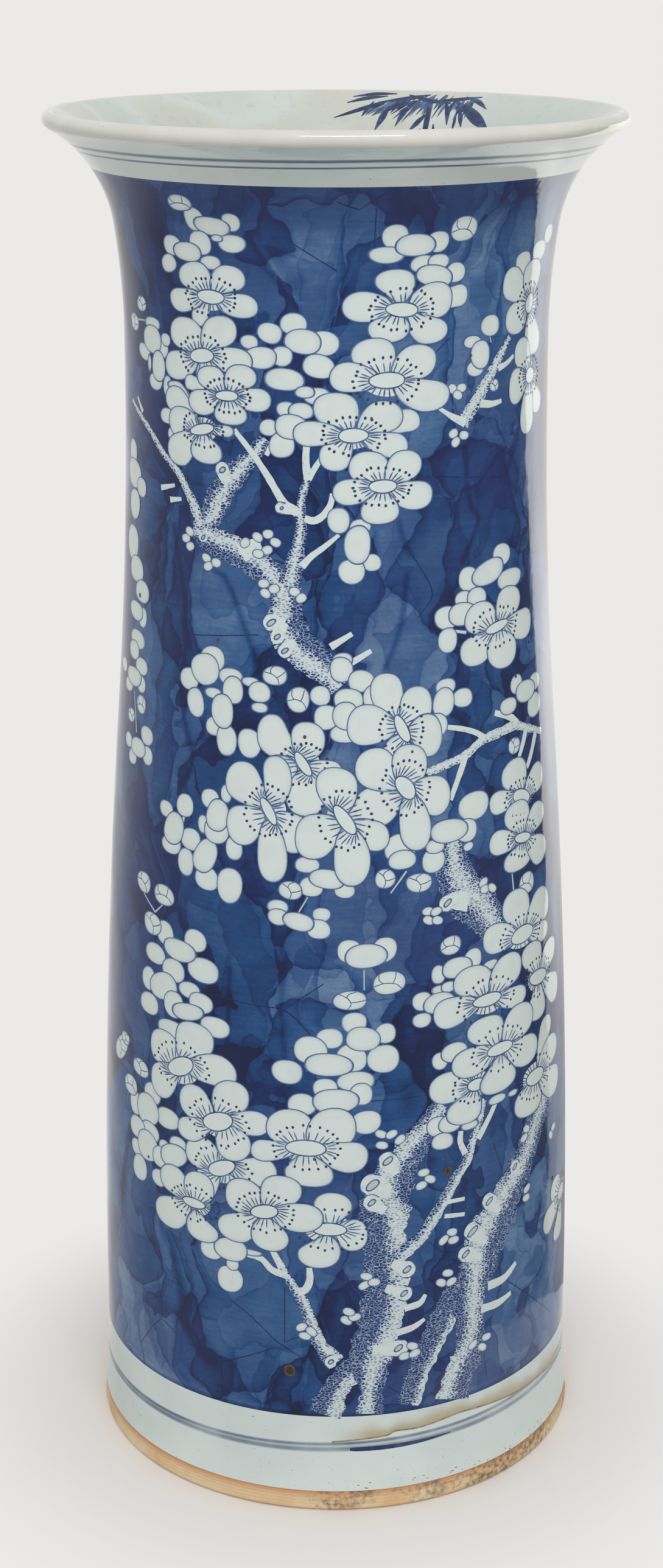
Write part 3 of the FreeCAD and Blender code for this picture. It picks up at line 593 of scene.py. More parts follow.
def ground_paint(tree, place):
    """Cobalt wash, dark at 0 and thin at 1: stretched Voronoi panels bent by noise, each with cobalt
    pooled along the darker side of its borders, clouds of three sizes, and brush streaks 1.2 mm
    apart that run round the body."""
    def add_to(depth, amount, times):
        return add_node(tree, "Math", (amount, times, depth), operation="MULTIPLY_ADD")

    bent = place
    for scale, reach in BENDS:
        sway = add_node(tree, "TexNoise", {"Vector": place, "Scale": scale, "Detail": 1.0}, "Color")
        sway = add_node(tree, "VectorMath", (sway, (0.5, 0.5, 0.5)), operation="SUBTRACT")
        bent = add_node(tree, "VectorMath", (sway, (reach, reach, reach), bent), operation="MULTIPLY_ADD")
    drawn = add_node(tree, "VectorMath", (place, STREAKS), operation="MULTIPLY")
    base = GROUND_DEPTH - 0.5 * (STREAK_DEPTH + sum(one[3] for one in PANELS) + sum(one[2] for one in CLOUDS))
    depth = add_node(tree, "Math", (read(tree, "tone"), base), operation="ADD")
    for where, (scale, detail, strength) in ((drawn, (1.0, 3.0, STREAK_DEPTH)), *((place, one) for one in CLOUDS)):
        puffs = add_node(tree, "TexNoise", {"Vector": where, "Scale": scale, "Detail": detail})
        depth = add_to(depth, puffs, strength)
    for wide, tall, shift, weight, rim in PANELS:
        cell = add_node(tree, "VectorMath", (bent, (1 / wide, 1 / wide, 1 / tall), (shift,) * 3),
                        operation="MULTIPLY_ADD")
        cells = {"Vector": cell, "Scale": 1.0}
        shades = (add_node(tree, "TexVoronoi", cells, "Color", feature=nearest) for nearest in ("F1", "F2"))
        own, other = (add_node(tree, "SeparateColor", (shade,)) for shade in shades)
        way = add_node(tree, "TexVoronoi", cells, feature="DISTANCE_TO_EDGE")
        inside = add_node(tree, "MapRange", (way, 0.0, PANEL_MEET, PANEL_EDGE))
        depth = add_to(depth, add_node(tree, "Mix", {"Factor": inside, "A": other, "B": own}), weight)
        pooled = add_node(tree, "Math", (own, other), operation="LESS_THAN")
        for far, share in RIM:
            near = add_node(tree, "MapRange", (way, 0.0, far, -rim * share, 0.0),
                            interpolation_type="SMOOTHSTEP")
            depth = add_to(depth, near, pooled)
    haze = patchy(tree, bent, 12.0, 1.0, 0.45, 0.75, most=0.6)
    up = add_node(tree, "MapRange", (add_node(tree, "SeparateXYZ", (place,), out="Z"), VIOLET_FROM, VIOLET_TO,
                                     0.0, VIOLET_MOST))
    violet = add_node(tree, "Math", (haze, up), operation="MAXIMUM")
    return blended(tree, violet, add_node(tree, "ValToRGB", (depth,), stops=COBALT), COBALT_VIOLET)


ground_glaze = glazed("cobalt wash under clear glaze", ground_paint)
per_sector = round(360 / GROUND_STEP_TURN / SECTORS)
heights = np.linspace(GROUND_LOW, GROUND_HIGH, GROUND_ROWS)
half = (GROUND_HIGH - GROUND_LOW) / 2
# how much of the bake's square a sector's half takes in width, and its height, and the margin round it
BAKE_WIDE, BAKE_TALL, BAKE_MARGIN = 0.47, 0.97, 0.015
for sector in range(SECTORS):
    turns = -180 + (sector * per_sector + np.arange(per_sector + 1)) * GROUND_STEP_TURN
    turn, height = np.meshgrid(turns, heights)
    tone = np.pad(wash(turn, height), 1, mode="edge")
    turn, height = (np.pad(grid, 1, mode="edge") for grid in (turn, height))
    points, normals = on_wall(turn, height)
    rim = np.pad(np.zeros(np.array(turn.shape) - 2, bool), 1, constant_values=True)
    points[rim] = on_wall(turn, height, -GLAZE_COAT)[0][rim]
    faces = net(*turn.shape)
    corner_turn, corner_height = turn.ravel()[faces], height.ravel()[faces]
    upper = (corner_height.mean(1) > GROUND_LOW + half)[:, None]
    u = (corner_turn - turns[0]) / (turns[-1] - turns[0]) * BAKE_WIDE + BAKE_MARGIN + 0.5 * upper
    v = (corner_height - GROUND_LOW - half * upper) / half * BAKE_TALL + BAKE_MARGIN
    add_piece(f"cobalt_ground_{sector + 1}", points.reshape(-1, 3), [faces], ground_glaze,
              normals.reshape(-1, 3), {"tone": tone}, np.stack([u, v], -1), ["blue_ground"])


# Painting in reserve: petals, branches and buds are bare white clay that the ground was washed
# around, outlined with a fine brush. Each shape is a thin patch on the wall, later ones on top.
FIRST_LIFT, NEXT_LIFT, SUNK = 0.03, 0.012, -0.08
PETAL_RINGS = (0.0, 0.22, 0.45, 0.8, 1.5, 2.8)
PETAL_WHITE, PETAL_PALE, BRUSH_BLUE, BARK_BLUE, BARK_WASH = "dde7e3", "c6d4d9", "42608f", "083270", "8fb2da"
# rows of points across a stroke, as shares of its half width
BARK_ACROSS, TWIG_ACROSS, LINE_ACROSS = (1.0, 0.86, 0.68, 0.48, 0.25, 0.0), (1.0, 0.7, 0.35, 0.0), (1.0, 0.0)
# a petal: how unsteady its outline is, how far to its blossom's middle it reaches, the power that narrows it
WOBBLE, PETAL_REACH, PETAL_NARROW = (0.025, 0.02), 0.86, 2.4
# how far from the highlight bark starts to darken and over what way, and how dark it is on the highlight
SHADE_FROM, SHADE_OVER, SHADE_LEAST = 0.05, 0.78, 0.34
# millimetres in a degree of turn on an average part of the wall
MEAN_DEGREE = 1.75
# a factor for outline that puts the whole of a patch beyond its outline, so that it has none
PLAIN = 50.0
placed = []


class Layer:
    """Patches that share a material, gathered until they become one piece."""

    def __init__(self):
        self.points, self.normals, self.edge, self.tint, self.faces, self.bake = [], [], [], [], [], []
        self.count = self.total = 0

    def add(self, turn, height, lift, edge, tint, faces, local, inset=0.0):
        """Lifts a patch off the wall; edge and tint are numbers or arrays, local its own -1 to 1 square."""
        points, normals = on_wall(turn, height, lift, inset)
        for rows, values in ((self.points, points), (self.normals, normals)):
            rows.append(values.reshape(-1, 3))
        for rows, values in ((self.edge, edge), (self.tint, tint)):
            rows.append(np.ravel(values + 0 * turn))
        local = local.reshape(-1, 2)
        for part in faces:
            self.faces.append(part + self.total)
            self.bake.append((np.full(part.shape, self.count), local[part]))
        self.total += turn.size
        self.count += 1

    def finish(self, name, slot, material, strips=False):
        """Makes the piece, with each patch in a cell of its own on the bake's square."""
        if not self.count:
            return
        cells = 1 if strips else math.ceil(math.sqrt(self.count))
        rows = self.count if strips else cells
        by_sides = {}
        for faces, (cell, local) in zip(self.faces, self.bake):
            by_sides.setdefault(faces.shape[1], []).append((faces, cell, local))
        faces, bake = [], []
        for group in by_sides.values():
            shapes, cell, local = (np.concatenate(parts) for parts in zip(*group))
            faces.append(shapes)
            spot = np.stack([cell % cells, cell // cells], -1)
            bake.append(((spot + 0.06 + 0.88 * (local * 0.5 + 0.5)) / (cells, rows)).reshape(-1, 2))
        points, normals, edge, tint = map(np.concatenate, (self.points, self.normals, self.edge, self.tint))
        add_piece(name, points, faces, material, normals, {"edge": edge, "tint": tint}, np.concatenate(bake))


def level_for(turn, height, half_turn, half_height):
    """The first paint level above every patch already laid on that part of the wall."""
    under = [level for t, h, ht, hh, level in placed
             if abs(t - turn) < ht + half_turn and abs(h - height) < hh + half_height]
    level = max(under, default=-1) + 1
    placed.append((turn, height, half_turn, half_height, level))
    return level


def rotated(x, y, angle):
    """A point turned by an angle in radians: x cos - y sin, x sin + y cos."""
    return x * np.cos(angle) - y * np.sin(angle), x * np.sin(angle) + y * np.cos(angle)


def oval(layer, turn, height, half_turn, half_height, lean=0.0, level=None, outline=1.0, tint=0.0, seed=0,
         flat=2.2, sides=28, root=None):
    """A petal: rings of a slightly squared oval, x = a|cos|^(2/n), y = b|sin|^(2/n), with a hand's
    wobble, set in from the rim by fixed steps. Its border is sunk into the wall. A root, as turn
    and height, draws the side that faces it out to a point there, by a power of the cosine."""
    scale = float(degree_at(height))
    a, b = half_turn * scale, half_height
    rng = np.random.default_rng(seed + int(abs(turn * 10)) + int(height * 10))
    angle = np.arange(sides) * 2 * np.pi / sides
    cos, sin = np.cos(angle), np.sin(angle)
    wobble = 1 + sum(much * np.cos(waves * angle + rng.uniform(0, 6)) for waves, much in zip((2, 3), WOBBLE))
    x, y = rotated(a * np.sign(cos) * np.abs(cos) ** (2 / flat) * wobble,
                   b * np.sign(sin) * np.abs(sin) ** (2 / flat) * wobble, math.radians(lean))
    if root:
        away = ((root[0] - turn) * scale, root[1] - height)
        far = math.hypot(*away)
        toward = np.maximum((x * away[0] + y * away[1]) / far / np.hypot(x, y), 0)
        extra = max(0.0, far * PETAL_REACH - float((x * away[0] + y * away[1]).max() / far))
        x, y = (own + part / far * extra * toward ** PETAL_NARROW for own, part in zip((x, y), away))
    small = min(a, b)
    shares = [1 - step / small for step in PETAL_RINGS if step < 0.7 * small]
    if shares[-1] * np.abs(x).max() > 2.4:
        shares.append(shares[-1] / 2)
    shares = np.array([1.0] + shares)[:, None]
    gx, gy = np.append((shares * x).ravel(), 0), np.append((shares * y).ravel(), 0)
    edge = np.append((small * (1 - shares) + 0 * angle).ravel(), small) * outline
    if level is None:
        level = level_for(turn + (x.max() + x.min()) / 2 / scale, height + (y.max() + y.min()) / 2,
                          np.ptp(x) / 2 / scale, np.ptp(y) / 2)
    lift = np.full(gx.size, FIRST_LIFT + NEXT_LIFT * level)
    lift[:sides] = SUNK
    rows, step = len(shares), np.arange(sides)
    last = (rows - 1) * sides
    fan = np.stack([last + step, last + (step + 1) % sides, np.full(sides, rows * sides)], -1)
    layer.add(turn + gx / scale, height + gy, lift, edge, tint, [net(rows, sides, closed=True), fan],
              np.stack([gx, gy], -1) / np.abs([gx, gy]).max())
    return level


def smooth_path(path, step):
    """A curve through (turn, height, width) places, by Catmull-Rom cubics cut at about `step` mm."""
    path = np.array(path, float)
    path = np.vstack([2 * path[0] - path[1], path, 2 * path[-1] - path[-2]])
    runs = []
    for p0, p1, p2, p3 in zip(path[:-3], path[1:-2], path[2:-1], path[3:]):
        gap = math.hypot((p2[0] - p1[0]) * MEAN_DEGREE, p2[1] - p1[1])
        t = np.linspace(0, 1, max(2, int(gap / step) + 1), endpoint=False)[:, None]
        runs.append(0.5 * (2 * p1 + (p2 - p0) * t + (2 * p0 - 5 * p1 + 4 * p2 - p3) * t ** 2
                           + (3 * p1 - p0 - 3 * p2 + p3) * t ** 3))
    return np.vstack(runs + [path[-2:-1]])


def stroke(layer, path, level=None, outline=1.0, shade=0.0, rough=0.0, step=1.5, across=(1.0, 0.72, 0.4, 0.0),
           inset=0.0):
    """A brush stroke or branch: its curve carried with its width, given in mm at each place, and a
    ragged edge. edge is the way in from the nearer side. shade is how blue the sides are, and the
    path's fourth number is where the bare highlight lies across, from -1 to 1."""
    line = smooth_path(path, step)
    scale = degree_at(line[:, 1], inset).mean()
    x, y = line[:, 0] * scale, line[:, 1]
    dx, dy = np.gradient(x), np.gradient(y)
    size = np.hypot(dx, dy) + 1e-9
    half = np.maximum(line[:, 2], 0.02) / 2
    if rough:
        rng = np.random.default_rng(int(abs(path[0][0] * 7) + path[0][1]))
        spots = np.arange(len(half))
        bumps = sum(np.sin(spots * f + p) for f, p in zip((0.55, 0.93, 1.7), rng.uniform(0, 6, 3))) / 3
        half = half * (1 + rough * bumps)
    shares = np.array([-1.0, *(-share for share in across), *across[-2::-1], 1.0])
    gx, gy = half[:, None] * shares * (-dy / size)[:, None], half[:, None] * shares * (dx / size)[:, None]
    if level is None:
        level = level_for(line[:, 0].mean(), line[:, 1].mean(),
                          np.ptp(line[:, 0]) / 2 + half.max() / MEAN_DEGREE, np.ptp(line[:, 1]) / 2 + half.max())
    lift = np.full(gx.shape, FIRST_LIFT + NEXT_LIFT * level)
    lift[:, [0, -1]] = SUNK
    tint = 0.0
    if shade:
        bare = line[:, 3:4]
        far = np.where(shares > bare, 1 - bare, 1 + bare)
        away = np.clip((np.abs(shares - bare) - SHADE_FROM) / SHADE_OVER, 0, 1) * np.minimum(far, 1) ** 0.8
        tint = shade * (SHADE_LEAST + (1 - SHADE_LEAST) * away)
    faces = net(len(line), len(shares))
    share_along = np.linspace(-1, 1, len(line))[:, None] + 0 * gx
    layer.add((x[:, None] + gx) / scale, y[:, None] + gy, lift, half[:, None] * (1 - np.abs(shares)) * outline,
              tint, [faces if inset else faces[:, ::-1]], np.stack([share_along, shares + 0 * gx], -1), inset)
    return level


def dots(layer, turn, height, long, short, lean, level):
    """Many small brush touches at once: each an eight-sided oval, long by short in mm."""
    count, sides = len(turn), 8
    angle = np.arange(sides) * 2 * np.pi / sides
    long, short, lean, level = (np.broadcast_to(given, count)[:, None] for given in (long, short, lean, level))
    gx, gy = rotated(long / 2 * np.cos(angle), short / 2 * np.sin(angle), np.radians(lean))
    lift = FIRST_LIFT + NEXT_LIFT * (level + 0.5) + 0 * gx
    local = np.tile(np.stack([np.cos(angle), np.sin(angle)], -1), (count, 1))
    layer.add((turn[:, None] + gx / degree_at(height)[:, None]).ravel(), (height[:, None] + gy).ravel(),
              lift.ravel(), 0.0, 0.0, [np.arange(count * sides).reshape(count, sides)], local)


def petal_paint(tree, place):
    """White clay with a fine blue outline a quarter of a millimetre wide, pale just inside it."""
    way = add_node(tree, "Math", (read(tree, "edge"), 4.0), operation="DIVIDE")
    white = add_node(tree, "ValToRGB", (way,), stops=(
        (0.0, BRUSH_BLUE), (0.075, BRUSH_BLUE), (0.14, PETAL_PALE), (0.30, "d5e0de"), (0.60, PETAL_WHITE)))
    hazy = patchy(tree, place, 120.0, 2.0, 0.5, 0.8, most=0.30)
    return blended(tree, read(tree, "tint"), blended(tree, hazy, white, PETAL_PALE), BARK_BLUE)


# the bark's net: cells per metre round and up the vase, how far its lines are bent, and how far inside a
# cell's border its touch starts, at the highlight and in the shade
BARK_CELLS, BARK_BEND, BARK_BARE, BARK_FULL = (520.0, 520.0, 1050.0), 0.0018, 0.33, 0.024


def bark_paint(tree, place):
    """Bark: short touches of cobalt, a millimetre or so each, one in every cell of a stretched Voronoi
    net. They are small at a trunk's highlight and grow until only a fine white net is left."""
    tint = read(tree, "tint")
    sway = add_node(tree, "TexNoise", {"Vector": place, "Scale": 350.0, "Detail": 1.0}, "Color")
    bent = add_node(tree, "VectorMath", (sway, (BARK_BEND,) * 3, place), operation="MULTIPLY_ADD")
    drawn = add_node(tree, "VectorMath", (bent, BARK_CELLS), operation="MULTIPLY")
    scales = add_node(tree, "TexVoronoi", {"Vector": drawn, "Scale": 1.0}, feature="DISTANCE_TO_EDGE")
    least = add_node(tree, "MapRange", {"Value": tint, "To Min": BARK_BARE, "To Max": BARK_FULL})
    touch = add_node(tree, "Math", (scales, least), operation="SUBTRACT")
    touch = add_node(tree, "MapRange", {"Value": touch, "From Min": -0.02, "From Max": 0.05})
    full = add_node(tree, "MapRange", {"Value": tint, "From Min": 0.08, "From Max": 0.7, "To Min": 0.1})
    touch = add_node(tree, "Math", (touch, full), operation="MULTIPLY")
    washed = add_node(tree, "Math", (tint, 0.40), operation="MULTIPLY")
    return blended(tree, touch, blended(tree, washed, PETAL_WHITE, BARK_WASH), BARK_BLUE)


def brush_paint(tree, place):
    """Fine lines of cobalt, darker where the brush paused."""
    return mottled(tree, place, 300.0, 2.0, (0.35, "2a4273"), (0.65, "5d7ba8"))


def dot_paint(tree, place):
    """Touches of strong cobalt at the stamens' ends."""
    return mottled(tree, place, 300.0, 2.0, (0.3, "1a2b52"), (0.7, "2f4678"))


petal_glaze = glazed("white reserve under clear glaze", petal_paint)
dot_glaze = glazed("cobalt touches under clear glaze", dot_paint)
# each kind of painting: its slot, its material, and whether its patches are long strips
PAINTED = {"trunks": ("white_glaze", glazed("brushed bark under clear glaze", bark_paint), True),
           "branches": ("white_glaze", petal_glaze), "blossoms": ("white_glaze", petal_glaze),
           "brush_lines": ("cobalt_line", glazed("cobalt brush line under clear glaze", brush_paint)),
           "stamen_ends": ("cobalt_line", dot_glaze)}

# Trunks: each path is turn, height, width in mm and the place across of the bare highlight, from -1
# at the right of the way it runs to 1 at its left. Brush strokes darken the rest as bark.
TRUNKS = (
    ((-37, 441, 9, 0.2), (-34, 447.4, 11, -0.1), (-32, 454.4, 11.4, -0.15), (-28.9, 461.4, 11, -0.1),
     (-25.3, 467.8, 9.2), (-21.5, 474, 7), (-18.4, 480.8, 5)),
    ((-40, 439.7, 5), (-36.6, 438.5, 10, 0.2), (-32.3, 436.4, 12, 0.3), (-27, 433.9, 12, 0.35),
     (-21, 429.5, 12, 0.3), (-16.7, 424.5, 12, 0.1), (-13.4, 419.3, 13.4, -0.1), (-12.7, 412.9, 14, -0.2),
     (-12.9, 405.8, 15, -0.35), (-10.6, 398.6, 16, -0.4), (-7, 392.6, 14.5, -0.3), (-3.1, 386.9, 12, -0.2),
     (1, 379.8, 10, -0.1)),
    ((34, 485, 6.5), (38, 492, 6, 0.2), (42, 500, 5.4), (46, 508, 4.4), (51, 517, 2.5)),
    ((29.5, 312, 11), (29.6, 302, 15), (30.1, 294.4, 18, 0.1), (32.7, 286, 20, 0.15), (37.3, 277.3, 19.5, 0.15),
     (41, 269, 16), (44, 261.7, 12)),
    ((-2.6, 48, 15, -0.5), (-0.7, 58.6, 12.5, -0.5), (1.7, 65.9, 11.4, -0.5), (5.1, 73, 12.4, -0.3),
     (8, 82, 12, -0.2)),
    ((7.8, 48, 12.5, 0.2), (8.2, 57.9, 10.5, 0.2), (8.3, 65.2, 13), (7.8, 72.6, 19, -0.2),
     (8.5, 79.8, 20, -0.4), (9.5, 86.8, 19, -0.6), (10.5, 97.4, 20, -0.7), (11.5, 109.7, 20, -0.75),
     (11.2, 120.4, 19, -0.7), (11.2, 129.2, 19, -0.65), (11, 137.9, 20.5, -0.65), (11.3, 146.5, 22.5, -0.45),
     (12.4, 155.1, 21, 0.1), (13.8, 163.4, 18.5, 0.35), (16.4, 171.3, 15.5, 0.35), (19.8, 178.9, 13.5, 0.2),
     (23.2, 186.4, 11.5), (25.7, 192.3, 10)),
    ((17.2, 50, 10.5, -0.8), (19.2, 64.2, 11, -0.9), (21.5, 74.4, 12, -0.9), (24.2, 84.2, 13, -1),
     (26.9, 94, 13.5, -1), (30, 104, 12, -1)),
    ((28.4, 48, 17, 0.5), (30.1, 59, 16, 0.5), (32.4, 66.7, 16.5, 0.5), (33.4, 75.2, 15.5, 0.1),
     (33.3, 84.5, 15, -0.2), (32.8, 92.5, 16, -0.3), (33.3, 101.1, 18.5, -0.2), (35.3, 108, 20, 0.1),
     (36.4, 114.5, 22, 0.25), (37.8, 120.9, 24, 0.35), (39.5, 127, 24, 0.35), (42.2, 133.3, 22.5, 0.35),
     (45.2, 140.2, 20.5, 0.3), (48.5, 146.9, 18.5, 0.1), (51.4, 153.7, 17.5), (54.2, 160.7, 17),
     (56.8, 167.6, 17), (61, 175, 17), (67, 184, 15)),
    ((-7.3, 465.8, 2.9), (-8.6, 458.6, 3.5), (-9.1, 451.3, 4.1, -0.1), (-8.9, 445.5, 4.7, -0.1),
     (-9.6, 438.2, 5.8, -0.1), (-10.7, 429.4, 7.6, -0.1), (-12, 421.3, 10)),
    ((-12.6, 119.2, 3.2), (-9.8, 110, 4.4, 0.3), (-7.2, 101.5, 5.2, 0.3), (-5.5, 91, 6, 0.3),
     (-3.4, 82.1, 6.8, 0.3), (0, 74.1, 9, 0.2)),
    ((13, 121.5, 8.4, -0.6), (15.2, 125, 7.2, -0.5), (17.5, 128.5, 6.4, -0.4), (19.8, 131.3, 6, -0.4),
     (22.5, 138.2, 5.8, -0.4), (25.9, 147.4, 5.6, -0.5), (29.3, 157.2, 5.2, -0.5), (32.2, 163.7, 4.8, -0.4),
     (34, 173.2, 4.2, -0.3), (36.2, 182.5, 3.8), (37.3, 190.5, 3.4)),
    ((20, 340, 3.4), (28, 343.5, 3.6, 0.2), (34, 346, 3.8, 0.2), (39, 350.5, 4, 0.2), (46, 352, 4.4, 0.2),
     (52, 352.5, 4, 0.2), (58, 349, 3.4), (66, 344, 2.8)),
    ((-70.4, 486.7, 2), (-59, 477.7, 2.8, 0.2), (-51.9, 469.2, 3.2, 0.2), (-45.9, 463.2, 3.6, 0.1),
     (-42.5, 456.6, 4, 0.1), (-39.6, 449.9, 4.8), (-37.4, 442, 7)))
# Twigs and thorns: turn, height and width in mm
TWIGS = (((-66, 489, 1.2), (-62.5, 483.5, 1.8)), ((-27, 483.4, 1.9), (-22, 474.7, 2.2), (-18.1, 466.5, 2.5),
    (-15.3, 459.5, 2.7), (-13.2, 454.7, 3.1), (-10, 451.5, 3.4)), ((-18, 474, 1.6), (-16.5, 480, 1.6)),
    ((-7.5, 480.1, 2.2), (-7.8, 473, 2.6), (-7.3, 465, 2.9)), ((-3.4, 474.8, 1.7), (-5.4, 469.9, 2),
    (-7.2, 465.1, 2.4)), ((-1.1, 459.5, 1.7), (-1.5, 455.2, 2.2), (-3.2, 450.8, 2.5), (-5.7, 448.3, 2.6),
    (-8.1, 449.2, 2.6)), ((0.6, 442.6, 1.4), (-3.4, 437.3, 2), (-6.3, 433.8, 2.3), (-8.8, 429.5, 2.9)),
    ((-52.7, 454.4, 2.2), (-46.8, 456.9, 1.3)), ((-48.7, 450.4, 2.2), (-44.2, 451.8, 1.3)), ((-1.5, 396.4, 2.6),
    (3.9, 401.9, 1.8)), ((3.7, 389.8, 2.5), (8.7, 394.6, 1.7)), ((-25, 433, 7), (-22, 436, 6),
    (-19.5, 437.5, 4.4)), ((27, 492, 1.2), (31, 488, 2.2), (35, 485, 3.5)), ((46.5, 505, 2.4), (50, 506.5, 2),
    (53, 509, 1.4)), ((40, 492, 3), (44, 491, 2.4), (48, 491.5, 1.6)), ((28.5, 359.5, 1.8), (34, 357, 2),
    (38, 354, 2.2), (40, 351, 3)), ((34, 346, 2.6), (31.5, 337, 2.4), (29, 328, 2)), ((44, 361, 2),
    (50, 357, 2.8), (53, 353, 3)), ((57, 349, 3), (55, 343, 2.6), (53, 338, 2.2)), ((62, 345, 3),
    (59, 337, 2.6), (56.5, 332, 2.2)), ((33.5, 282, 7.5), (29, 283.5, 5.6), (26, 282, 3.6)), ((-15, 127.4, 2.4),
    (-12.6, 119.2, 3)), ((-21.7, 123.4, 2), (-17.6, 122.3, 2.4), (-15, 117.7, 2.8), (-11.5, 115.9, 3.2)),
    ((-6.2, 120.3, 2.2), (-6.1, 114.1, 2.8), (-7.2, 109.5, 3), (-8.9, 108.4, 3.4)), ((16, 98.5, 3),
    (19.7, 99.9, 2.6), (21.2, 103.7, 1.6)), ((14, 87, 3), (18.1, 88.6, 2.6), (21, 91.7, 1.6)), ((38.5, 98.8, 4),
    (43.8, 99.2, 3.4), (48.1, 103.8, 2)), ((36.5, 88.6, 3.8), (42, 88.2, 3.2), (46.3, 90, 2)),
    ((30.5, 178.3, 2.2), (30.3, 173.2, 2.4), (31.7, 167, 2.8)), ((41.6, 188.1, 2), (39, 181, 2.4),
    (35.4, 172.3, 2.8)), ((26.5, 146.2, 1.9), (31.5, 145.7, 1.6)), ((26, 139.7, 1.9), (31.5, 138.2, 1.6)))
# burls with a hollow knot, that grow up and out of a trunk: turn, height, half length and half width in mm
KNOTS = ((-36.5, 437.5, 2.6, 1.7), (-30.5, 466.5, 3.4, 2.2), (-16.6, 405.5, 4.4, 2.4), (-15, 399.8, 3.4, 1.9),
    (-13, 394.2, 3.6, 1.9), (-14, 453, 1.8, 1.4), (27.6, 283.4, 4.4, 2.4), (-1.2, 74.6, 2.8, 2.2),
    (8.4, 159.4, 6.6, 3.6), (8.2, 151.2, 4, 2.4), (12, 170.2, 5.2, 2.8), (16.6, 117.4, 4.4, 2.5),
    (15.9, 106, 4, 2.2), (14.6, 79.4, 4.6, 2.6), (38.8, 140.4, 4.6, 2.5), (33.8, 128.6, 6.4, 2.8),
    (31.8, 118.6, 4.6, 2.4), (47.6, 151.5, 3.6, 2.2))
# a burl's lobe: share of the way from the trunk to the knot, how much of the round end beyond it, and
# width in half widths of the knot
KNOT_LOBE = ((0.0, 0, 1.6), (0.45, 0, 2.4), (0.85, 0, 2.9), (1.15, 0, 2.7), (1.15, 0.6, 2.2), (1.15, 0.95, 1.3),
             (1.15, 1.1, 0.3))
# tufts of moss: little white dabs beside the branches
MOSS = ((31, 499.3), (33.7, 499.3), (32.5, 496.6), (31.3, 481.2), (34.6, 480), (32, 477.6), (-42.4, 435.9),
    (-41.1, 439), (-40.9, 432.8), (-35.4, 429.2), (-34.8, 425.9), (-32.3, 427.9), (-20.4, 440.4), (-17.6, 442),
    (-15.6, 438.8), (-17.8, 435.4), (-20.2, 433.6), (-23.9, 437.6), (-18.7, 421.5), (-18.2, 417.5),
    (-15.9, 419.6), (-10.6, 418.9), (-8.9, 416.4), (22.3, 281.2), (22.4, 277.2), (24.5, 280.6), (24.8, 276.6),
    (38.2, 288.7), (38.6, 285.6), (41.1, 285.2), (33.9, 306.3), (10.4, 183), (12.9, 182.5), (10.6, 177.8),
    (14.9, 179.6), (20.7, 162.5), (22.3, 158.9), (20.1, 156.6), (7, 116), (6.5, 111.8), (8.8, 113), (2.3, 95),
    (4.3, 96.5), (2.9, 99.2), (-8, 91.2), (-7.2, 87), (-5.7, 89.3), (16.1, 75), (18, 79.4), (18.6, 75.6),
    (28, 131.2), (25.8, 128.3), (28.4, 127.2), (25.2, 107.8), (27.9, 107.1), (26.9, 111.8), (34.1, 72.2),
    (38.2, 73.6), (36.9, 69.3), (51.3, 162.9), (52.3, 166.6), (52.4, 137.3), (52.1, 133), (65, 154),
    (66.8, 156.5))

